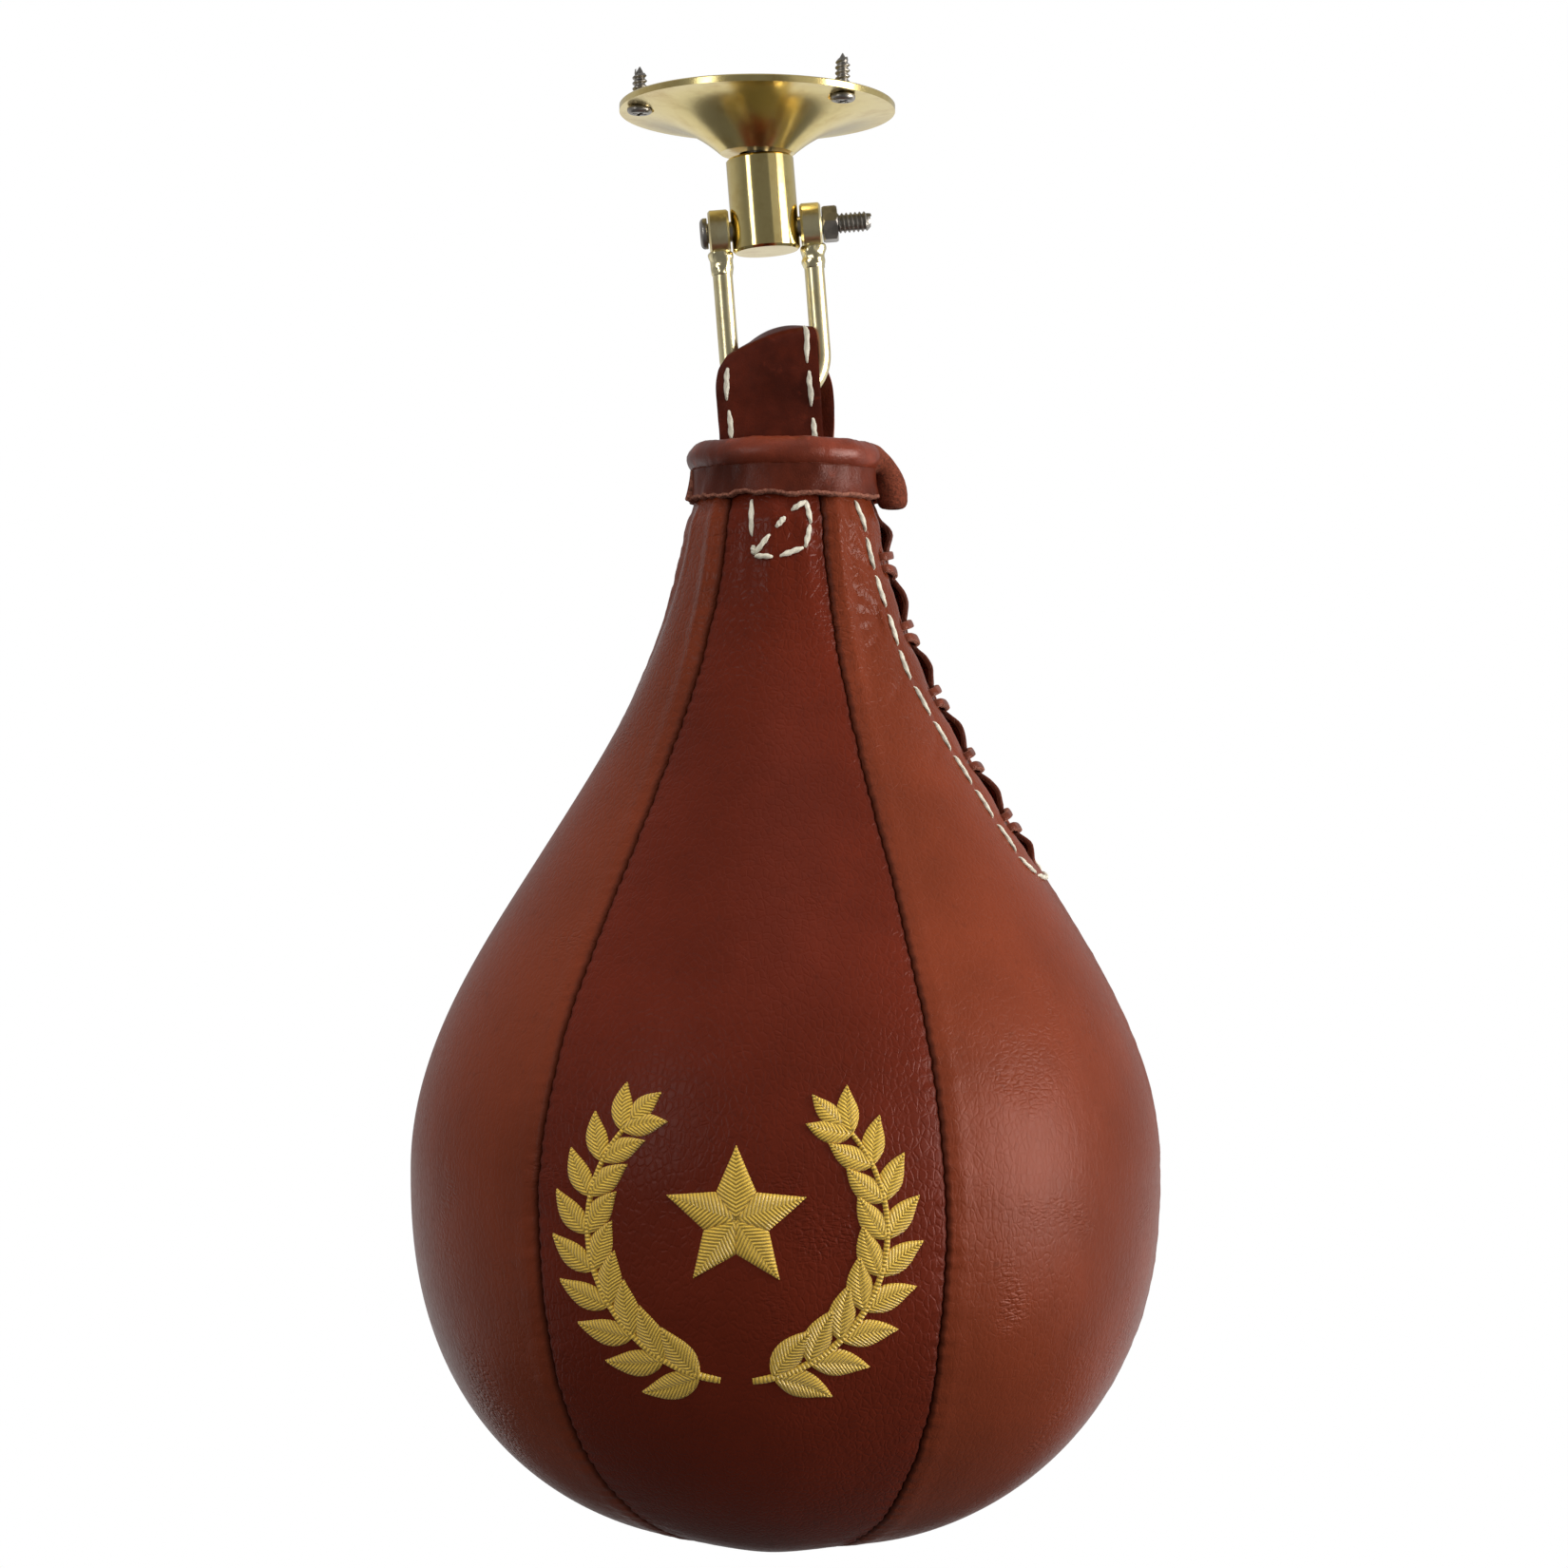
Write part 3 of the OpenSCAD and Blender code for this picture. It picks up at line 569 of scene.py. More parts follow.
def brass_finish(name, rgb, satin, cast=0.0):
    """Brass, from polished to satin: faint tarnish, handling marks and fine scratches."""
    f = Finish(name, Metallic=1.0)
    place = f.place()
    tarnish = f.cloud(place, 120, 5, 0.65)
    marks = f.cloud(f.shifted(place, 0.004, 160), 620, 4, 0.7)
    lines = f.cloud(f.place((1, 1, 0.05)), 2600, 2)
    tone = f.mix(rgb, (rgb[0] * 0.74, rgb[1] * 0.62, rgb[2] * 0.42), tarnish.between(0.42, 0.80) * 0.75)
    tone = f.mix(tone, shade(rgb, 0.42), marks.between(0.62, 0.82) * 0.35)
    rough = satin + tarnish * 0.07 + marks * 0.05
    height = lines * 0.25 + marks * 0.4 + tarnish * (0.5 + 4.0 * cast)
    return f.surface(tone, rough, height, 0.00006 + 0.00025 * cast, 0.30)


def steel_finish(name, rgb):
    """Zinc-plated steel: dull grey with darker handling marks."""
    f = Finish(name, Metallic=1.0)
    place = f.place()
    patch = f.cloud(place, 240, 5, 0.65)
    pits = f.cloud(place, 1700, 3, 0.6)
    tone = f.mix(shade(rgb, 1.15), shade(rgb, 0.5), patch.between(0.42, 0.76) * 0.8)
    return f.surface(tone, 0.26 + patch * 0.16 + pits * 0.06, pits, 0.00006, 0.5)


def rubber_finish(name, rgb):
    """Dull moulded rubber with a bloom."""
    f = Finish(name, Specular_IOR_Level=0.3)
    place = f.place()
    bloom = f.cloud(place, 45, 5, 0.6)
    pits = f.cloud(place, 1400, 3)
    tone = f.mix(shade(rgb, 0.8), shade(rgb, 2.2), bloom.between(0.4, 0.8) * 0.7)
    return f.surface(tone, 0.6 + bloom * 0.2, pits, 0.0001, 0.5)


FINISHES = {
    "side_leather": lambda name, c: panel_finish(name, c.panel, 0.27, 1.0),
    # The front panel's finish: darker leather, partly painted shade
    "front_leather": lambda name, c: panel_finish(name, c.front, 0.27, 0.25),
    "strap_leather": lambda name, c: strap_finish(name, c.strap),
    "collar_leather": lambda name, c: strap_finish(name, c.collar, 0.34),
    # The band's leather is the collar's, darkened: painted shade from the roll above it
    "band_leather": lambda name, c: strap_finish(name, shade(c.collar, 0.55)),
    "lace_leather": lambda name, c: strap_finish(name, c.lace),
    "raw_leather": lambda name, c: raw_finish(name, c.raw),
    "lace_edge": lambda name, c: raw_finish(name, shade(c.raw, 1.3)),
    "dark_suede": lambda name, c: raw_finish(name, c.suede),
    "cream_thread": lambda name, c: cream_finish(name, c.cream),
    "gold_thread": lambda name, c: gold_finish(name, c.gold),
    "polished_brass": lambda name, c: brass_finish(name, c.brass, 0.07),
    "spun_brass": lambda name, c: brass_finish(name, c.brass, 0.15),
    "drawn_brass": lambda name, c: brass_finish(name, c.drawn, 0.24),
    "brazed_brass": lambda name, c: brass_finish(name, c.drawn, 0.16, 1.0),
    "plated_steel": lambda name, c: steel_finish(name, c.steel),
    "black_rubber": lambda name, c: rubber_finish(name, c.rubber),
}


def finish(context, name):
    """The material of that name, made when it is first asked for."""
    known = bpy.data.materials.get("looks_" + name)
    return known or FINISHES[name]("looks_" + name, context.scene.speed_bag.colours)


def to_object(scene, bm, name, materials):
    """Turns a bmesh into an object in the scene."""
    mesh = bpy.data.meshes.new(name)
    bm.to_mesh(mesh)
    bm.free()
    for material in materials:
        mesh.materials.append(material)
    made = bpy.data.objects.new(name, mesh)
    scene.collection.objects.link(made)
    return made


def make_piece(context, bm, name, body, finishes, replaces=()):
    """Turns a bmesh into a smooth piece that rides on a body."""
    piece = to_object(context.scene, bm, name, [finish(context, one) for one in finishes])
    piece.data.shade_smooth()
    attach(piece, body)
    if replaces:
        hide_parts(*replaces)
    return piece


def thicken(piece, wall, offset=-1.0, rim=0):
    """Gives a sheet its thickness, with another finish on its cut edge if asked."""
    solid = piece.modifiers.new("Thickness", "SOLIDIFY")
    solid.thickness = wall
    solid.offset = offset
    solid.use_even_offset = False
    solid.material_offset_rim = rim


def soften(piece, width, segments=2):
    """Rounds the sharp edges of a piece."""
    edge = piece.modifiers.new("Edge", "BEVEL")
    edge.width = width
    edge.segments = segments
    edge.limit_method = "ANGLE"
    edge.angle_limit = math.radians(40)
    edge.harden_normals = False


def carry(bm, edges, frames, raw):
    """Extrudes a closed edge loop from frame to frame; raw gives the finish of each edge's faces."""
    for before, after in zip(frames, frames[1:]):
        new = bmesh.ops.extrude_edge_only(bm, edges=edges)["geom"]
        moved = {v for v in new if isinstance(v, bmesh.types.BMVert)}
        bmesh.ops.transform(bm, matrix=after @ before.inverted(), verts=list(moved))
        loop = [e for e in new if isinstance(e, bmesh.types.BMEdge) and moved.issuperset(e.verts)]
        ends, known = set(loop), {}
        for face in new:
            if isinstance(face, bmesh.types.BMFace):
                face.material_index = next(raw[e] for e in face.edges if e in raw)
                known.update({e: face.material_index for e in face.edges if e in ends})
        edges, raw = loop, known
    return edges


def sweep(bm, section, frames, raw=()):
    """Draws a closed section along frames and closes its ends."""
    ring = [bm.verts.new(frames[0] @ Vector((x, y, 0))) for x, y in section]
    edges = [bm.edges.new(pair) for pair in zip(ring, ring[1:] + ring[:1])]
    last = carry(bm, edges, frames, {edge: int(i in raw) for i, edge in enumerate(edges)})
    for loop in (edges, last):
        bmesh.ops.edgeloop_fill(bm, edges=loop)


def ready(bm):
    """Closes the seams of a mesh and turns its faces outwards."""
    bmesh.ops.remove_doubles(bm, verts=bm.verts[:], dist=1e-6)
    bmesh.ops.recalc_face_normals(bm, faces=bm.faces[:])
    return bm


def turned(bm, profile, steps):
    """Spins a profile of radius and height once round the Z axis; open ends lie on the axis."""
    line = [bm.verts.new((r, 0, z)) for r, z in profile]
    edges = [bm.edges.new(pair) for pair in zip(line, line[1:])]
    bmesh.ops.spin(
        bm, geom=line + edges, cent=(0, 0, 0), axis=(0, 0, 1), angle=math.tau, steps=steps, use_merge=True
    )
    ready(bm)


def look_out(bm, face, outward):
    """Turns a sheet over if this face of it looks inwards."""
    if face.normal.dot(outward) < 0:
        bmesh.ops.reverse_faces(bm, faces=bm.faces[:])


def join(bm, part):
    """Adds one mesh to another and frees it."""
    held = bpy.data.meshes.new("held")
    part.to_mesh(held)
    part.free()
    bm.from_mesh(held)
    bpy.data.meshes.remove(held)


def slit_half(lacing, u):
    """Half the width of the laced opening at a height on the shoulder."""
    return lacing.slit_width / 2 * ease((u - lacing.slit_end) / 0.035)


def tied(lacing, u):
    """How tightly the lace holds the lips: 1 at a crossing, 0 halfway between two."""
    return math.cos(math.pi * (u - lacing.first) / lacing.step) ** 2


class Panels:
    """The sewn panels: where each point of a panel's leather lies."""

    # Columns of a panel's turned-in edge and of the roll beside it, and half the gap in a seam
    TURNED = 4
    ROLLED = 6
    SEAM_GAP = 0.06 * MM
    # Distances from a seam in millimetres: reach of its puckers and ripples, place and width of its welt
    PUCKER_REACH = 2.6
    RIPPLE_REACH = 8
    WELT_AT = 3.6
    WELT_WIDTH = 2.1
    # How much higher the welt stands at the neck
    WELT_GROWTH = 4.6
    # Heights of the leather's slow unevenness and of the ripples along a seam
    UNEVEN = 0.40 * MM
    RIPPLE = 0.20 * MM
    # Swellings of the two lips between the lace's crossings: height, distance from the opening
    # and width, in millimetres
    FAR_LIP = ((2.3, 2.0, 3.4), (0.7, 7, 4.0))
    NEAR_LIP = ((0.35, 7.5, 3.5), (-0.55, 2.2, 2.2))
    # Roll and depth of the leather's edge at the opening
    LIP_ROLL = 0.9 * MM
    LIP_DEPTH = 0.7 * MM
    # Folds that fan out from the lacing's stitches towards the front seam: turn from the front
    # and height at each end, in degrees and millimetres, and depth
    CREASES = (
        (49, -122, 30, -116, 0.50), (49, -123.5, 29, -122, 0.75), (49, -125, 29, -128, 0.65),
        (49, -126.5, 31, -134, 0.45), (50, -112, 34, -108, 0.40), (51, -138, 36, -146, 0.35),
        (56, -152, 44, -160, 0.30),
    )

    def __init__(self, settings):
        self.bag = settings.bag
        self.lacing = settings.lacing
        self.skin = Skin(settings)

    def wandering(self, seam, row):
        """How far a seam strays from its meridian."""
        s = row.s / MM
        stray = 0.45 * wander(s / 24, seam * 3.7, 0) + 0.20 * wander(s / 5, seam * 1.9, 8)
        stray += 0.12 * math.sin(math.tau * row.s / self.bag.stitch_pitch)
        return stray * MM * ease(row.r / (25 * MM))

    def across(self, step, half, roll, depth, start):
        """Distance from the seam and lift of a column, from the turned-in edge to the middle."""
        if step <= self.TURNED:
            return start, -roll - depth * (1 - step / self.TURNED)
        if step <= self.TURNED + self.ROLLED:
            a = (step - self.TURNED) / self.ROLLED * math.pi / 2
            return start + roll * (1 - math.cos(a)), -roll * (1 - math.sin(a))
        inner = self.TURNED + self.ROLLED
        share = ((step - inner) / (self.bag.columns / 2 - inner)) ** 1.45
        return start + roll + (half - start - roll) * share, 0.0

    def relief(self, place, seam, row, away, turn):
        """How far the leather stands off the smooth outline."""
        bag, mm = self.bag, away / MM
        s = row.s / MM
        size = ease(row.r / (28 * MM))
        lift = bag.crown * ease(away / (row.r * PANEL_TURN / 2)) * size
        x, y = math.cos(turn), math.sin(turn)
        lift += self.UNEVEN * wander(x * row.r / 0.05, y * row.r / 0.05, row.z / 0.06)
        pull = 0.75 + 0.9 * wander(s / 8, seam * 9.1, 1)
        wave = 0.5 + 0.5 * math.cos(math.tau * row.s / bag.stitch_pitch)
        lift -= bag.pucker * pull * wave * bell(mm, self.PUCKER_REACH) * size
        lift += self.RIPPLE * wander(s / 2.4, seam * 5.3, mm / 9) * bell(mm, self.RIPPLE_REACH) * size
        laced = seam == 0 and row.u > self.lacing.slit_end
        if place % 2 and not laced:
            ridge = 0.85 + 0.5 * wander(s / 26, seam * 2.3, 4)
            growth = 1 + self.WELT_GROWTH * ease((row.u - 0.58) / 0.38)
            lift += bag.welt * ridge * bell(mm - self.WELT_AT, self.WELT_WIDTH) * size * growth
        below = (self.skin.neck_z - row.z) / MM
        gathered = ease((34 - below) / 28) * (1 - ease((-below - 1) / 6))
        if gathered:
            folds = wander(turn * 6.5, row.z / 0.07, 3) + 0.15 * wander(turn * 15, row.z / 0.05, 7)
            lift += bag.gather * gathered * folds
        if laced:
            lift += self.lacing_relief(place, row, mm)
        if place == PANEL_PLACES["panel_front_right"]:
            lift -= self.creases(row, turn)
        return lift

    def lacing_relief(self, place, row, mm):
        """The far lip stands up between the crossings. Both are drawn down at them and dimpled at holes."""
        tie = tied(self.lacing, row.u)
        here = ease((row.u - self.lacing.slit_end) / 0.04) * (1 - ease((row.u - 0.985) / 0.03))
        lip = self.FAR_LIP if place == 0 else self.NEAR_LIP
        lift = (1 - tie) * sum(height * bell(mm - at, width) for height, at, width in lip)
        lift -= tie * 0.45 * bell(mm - 4, 3.0) + 1.5 * self.hole(row, mm)
        lift -= 0.30 * bell(mm - 14.5, 1.6)
        return lift * here * MM

    def hole(self, row, mm):
        """How near a point is to a hole of the lace."""
        lacing = self.lacing
        nearest = round((row.u - lacing.first) / lacing.step)
        if not 0 <= nearest < lacing.crossings:
            return 0.0
        off = self.skin.shoulder(row.u) - self.skin.shoulder(lacing.first + lacing.step * nearest)
        return bell(mm - lacing.reach / MM - 0.5, 0.95) * (1 - ease((off.length / MM - 2.2) / 1.2))

    def creases(self, row, turn):
        """Depth of the folds on the laced front panel."""
        front = math.degrees(turn) + 90
        z, r = row.z / MM, row.r / MM
        depth = 0.0
        for turn_a, z_a, turn_b, z_b, deep in self.CREASES:
            if min(z_a, z_b) - 5 < z < max(z_a, z_b) + 5:
                run = Vector((math.radians(turn_b - turn_a) * r, z_b - z_a))
                spot = Vector((math.radians(front - turn_a) * r, z - z_a))
                along = spot.dot(run) / run.length_squared
                off = abs(run.x * spot.y - run.y * spot.x) / run.length
                fade = ease(along / 0.12 + 0.6) * (1 - ease((along - 0.55) / 0.45))
                depth += 1.15 * deep * bell(off, 1.05) * fade
        return depth * MM

    def point(self, place, row, column):
        """A point of the leather, and how strongly its colour is darkened in a seam or at a lace hole: painted
        shade with burnish.
        """
        bag = self.bag
        half = row.r * PANEL_TURN / 2
        far = column > bag.columns / 2
        step = bag.columns - column if far else column
        seam = (place + int(far)) % len(PANEL_PLACES)
        start = self.SEAM_GAP
        roll, depth = min(bag.seam_roll, 0.22 * half), min(bag.seam_depth, 0.3 * half)
        if seam == 0:
            opening = slit_half(self.lacing, row.u)
            open_ = opening / (self.lacing.slit_width / 2)
            parted = 1 + 0.35 * (1 - tied(self.lacing, row.u))
            start += opening * parted
            roll += (self.LIP_ROLL - roll) * open_
            depth += (self.LIP_DEPTH - depth) * open_
        away, sunk = self.across(step, half, roll, depth, min(start, half / 2))
        stray = self.wandering(seam, row) * (1 - ease(away / half))
        if far:
            turn = self.skin.direction + (place + 1) * PANEL_TURN - (away - stray) / row.r
        else:
            turn = self.skin.direction + place * PANEL_TURN + (away + stray) / row.r
        signed = math.remainder(turn, math.tau)
        lift = sunk + self.relief(place, seam, row, away, signed)
        # Darkening in the seam's groove and round the lace holes: painted shade with burnish
        burnish_and_shade = bell((away - start) / MM, 0.9) * ease(row.r / (10 * MM))
        if seam == 0 and row.u > self.lacing.slit_end:
            burnish_and_shade = max(burnish_and_shade, self.hole(row, away / MM))
        return self.skin.place(row, turn, lift), burnish_and_shade

    def sew(self, place):
        """One panel, spun from the outline and then shaped."""
        bm = bmesh.new()
        number = bm.verts.layers.int.new("number")
        # This layer carries the painted shade and burnish of the seams and lace holes
        seam = bm.verts.layers.float.new("seam")
        line = [bm.verts.new((row.r, 0, row.z)) for row in self.skin.rows]
        for i, v in enumerate(line):
            v[number] = i
        edges = [bm.edges.new(pair) for pair in zip(line, line[1:])]
        columns = self.bag.columns
        bmesh.ops.spin(
            bm, geom=line + edges, cent=(0, 0, 0), axis=(0, 0, 1), angle=PANEL_TURN, steps=columns,
            use_duplicate=False,
        )
        for v in bm.verts:
            column = round(math.atan2(v.co.y, v.co.x) / PANEL_TURN * columns)
            v.co, v[seam] = self.point(place, self.skin.rows[v[number]], column)
        bmesh.ops.recalc_face_normals(bm, faces=bm.faces[:])
        middle = self.skin.rows[len(self.skin.rows) // 2]
        turn = self.skin.direction + (place + 0.5) * PANEL_TURN
        outward = self.skin.place(middle, turn, 0) - self.skin.axis
        outward.z = 0
        widest = max(bm.faces, key=lambda face: face.calc_center_median().xy.dot(outward.xy))
        look_out(bm, widest, outward)
        return bm


class SPEEDBAG_OT_panels(Operator):
    """Sew the six leather panels"""

    bl_idname = "speedbag.panels"
    bl_label = "Panels"

    def execute(self, context):
        settings = context.scene.speed_bag
        panels = Panels(settings)
        for node, place in PANEL_PLACES.items():
            leather = "front_leather" if node == "panel_front" else "side_leather"
            piece = make_piece(
                context, panels.sew(place), "sewn_" + node, "bag", [leather], [node]
            )
            thicken(piece, settings.bag.leather)
        return {"FINISHED"}


def strip(skin, low, high, near, far, lift):
    """A sheet on the shoulder beside the lacing, between two heights and two distances round."""
    bm = bmesh.new()
    bmesh.ops.create_grid(bm, x_segments=16, y_segments=48, size=1)
    for v in bm.verts:
        u = low + (high - low) * (v.co.y + 1) / 2
        away = near + (far - near) * (v.co.x + 1) / 2
        ripple = 0.15 * MM * wander(away / 0.006, u * 30, near * 100)
        v.co = skin.beside_lacing(u, away, lift + ripple).translation
    bmesh.ops.recalc_face_normals(bm, faces=bm.faces[:])
    face = bm.faces[:][len(bm.faces) // 2]
    look_out(bm, face, face.calc_center_median() - skin.axis)
    return bm


class SPEEDBAG_OT_lacing(Operator):
    """Thread the lace over the tongue, between its stiffening strips"""

    bl_idname = "speedbag.lacing"
    bl_label = "Lacing"

    # Section of a strand, as shares of its half width and half thickness, and its sides that are raw
    SECTION = (
        (-1, -0.55), (-1, 0.55), (-0.88, 0.95), (-0.44, 1.05), (0, 1.08), (0.44, 1.05), (0.88, 0.95),
        (1, 0.55), (1, -0.55), (0.88, -0.95), (0.44, -1.0), (0, -1.02), (-0.44, -1.0), (-0.88, -0.95),
    )
    RAW = (0, 1, 6, 7, 8, 13)
    # Millimetres from the middle of the holes to a strand, and what the far lip adds
    APART = 1.95
    SPREAD = 0.6
    # Stiffening strips: distance of their edges from the middle of the opening, lift and thickness
    FACING_NEAR = 2.1 * MM
    FACING_FAR = 16.4 * MM
    FACING_LIFT = -2.25 * MM
    FACING_WALL = 1.1 * MM
    # Tongue: height of its lower end on the shoulder, half width, lift and thickness
    TONGUE_END = 0.4
    TONGUE_HALF = 9.9 * MM
    TONGUE_LIFT = -5.55 * MM
    TONGUE_WALL = 1.4 * MM
    # Shares of a step where the lace runs below, shares of a crossing, its rise and the steps of a bend
    BELOW = (0.5, 0.3, 0.12)
    LEAVING = (0.12, 0.3, 0.48)
    CROSSING = (0.75, 0.5, 0.25, 0, -0.25, -0.5, -0.75)
    RISE = 0.25 * MM
    BEND_STEP = 15

    def route(self, lacing):
        """Stations of the lace: height, distance round, lift and turn of its upper face."""
        side = lacing.reach - lacing.bend
        upper, lower = lacing.over - lacing.bend, lacing.bend - lacing.under
        stations = []
        for k in range(lacing.crossings):
            u = lacing.first + lacing.step * k
            stations += [
                (u - lacing.step * f, side * (1 - 2 * f), -lacing.under, 270) for f in self.BELOW
            ]
            stations += self.corner(lacing, u, side, lower, 270)
            stations += self.corner(lacing, u, side, upper, 0)
            stations += [(u, side * f, lacing.over + self.RISE * (1 - f * f), 90) for f in self.CROSSING]
            stations += self.corner(lacing, u, -side, upper, 90)
            stations += self.corner(lacing, u, -side, lower, 180)
            stations += [
                (u + lacing.step * f, -side * (1 - 2 * f), -lacing.under, 270) for f in self.LEAVING
            ]
        return stations

    def corner(self, lacing, u, side, level, start):
        """Stations round a quarter of a bend, from a turn in degrees."""
        stations = []
        for degrees in range(start, start + 91, self.BEND_STEP):
            a = math.radians(degrees)
            away, lift = side + lacing.bend * math.cos(a), level + lacing.bend * math.sin(a)
            stations.append((u, away, lift, degrees))
        return stations

    def lace(self, skin, lacing):
        """Two strands side by side through the same holes, further apart at the far lip."""
        section = [(x * lacing.width / 2, y * lacing.thickness / 2) for x, y in self.SECTION]
        bm = bmesh.new()
        for strand in (-1, 1):
            frames = []
            for i, (u, away, lift, degrees) in enumerate(self.route(lacing)):
                apart = strand * (self.APART + self.SPREAD * away / lacing.reach) * MM
                spot = skin.beside_lacing(u, away, lift) @ Matrix.Translation((0, 0, apart))
                bent = Matrix.Rotation(math.radians(degrees - 90), 4, "Z")
                flat = bent @ Matrix.Rotation(math.pi / 2, 4, "Y")
                frames.append(spot @ flat @ Matrix.Rotation(0.12 * wander(i / 5, strand, 5), 4, "Z"))
            sweep(bm, section, frames, self.RAW)
        return ready(bm)

    def execute(self, context):
        settings = context.scene.speed_bag
        lacing, skin = settings.lacing, Skin(settings)
        make_piece(
            context, self.lace(skin, lacing), "laced_thong", "bag",
            ["lace_leather", "lace_edge"], ["lace"],
        )
        facings = (
            ("lace_facing_front", -self.FACING_FAR, -self.FACING_NEAR),
            ("lace_facing_back", self.FACING_NEAR, self.FACING_FAR),
        )
        for node, near, far in facings:
            facing = make_piece(
                context, strip(skin, lacing.slit_end, 1, near, far, self.FACING_LIFT), "sewn_" + node, "bag",
                ["raw_leather"], [node],
            )
            thicken(facing, self.FACING_WALL)
        tongue = strip(skin, self.TONGUE_END, 1, -self.TONGUE_HALF, self.TONGUE_HALF, self.TONGUE_LIFT)
        piece = make_piece(
            context, tongue, "sewn_lace_tongue", "bag", ["strap_leather"], ["lace_tongue"]
        )
        thicken(piece, self.TONGUE_WALL)
        return {"FINISHED"}


class SPEEDBAG_OT_bladder(Operator):
    """Put the rubber bladder and its valve inside the bag"""

    bl_idname = "speedbag.bladder"
    bl_label = "Bladder"

    # Thickness of the rubber, its distance inside the outline at the belly, what is added on the
    # shoulder, in millimetres, and the height on the shoulder where it ends
    WALL = 1.0 * MM
    INSET = 2.5
    SHRINK = 5.0
    END = 0.84

    def execute(self, context):
        settings = context.scene.speed_bag
        skin = Skin(settings)
        low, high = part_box("bladder")
        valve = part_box("bladder_valve")
        hole = (valve[1].x - valve[0].x) / 4
        profile = [(0, low.z)]
        for row in skin.rows[4::6]:
            inset = (self.INSET + self.SHRINK * ease(row.u / 0.3)) * MM
            if row.u > self.END:
                break
            profile.append((row.r - inset * row.out, row.z - inset * row.up))
        profile += [(profile[-1][0] * f, high.z) for f in (0.8, 0.5)]
        profile.append((hole, high.z))
        bm = bmesh.new()
        turned(bm, profile, 96)
        for v in bm.verts:
            v.co += skin.axis
        piece = make_piece(
            context, bm, "inflated_bladder", "bag", ["black_rubber"], ["bladder"]
        )
        thicken(piece, self.WALL)
        frame["nodes"]["bladder_valve"].material_slots[0].material = finish(context, "black_rubber")
        return {"FINISHED"}


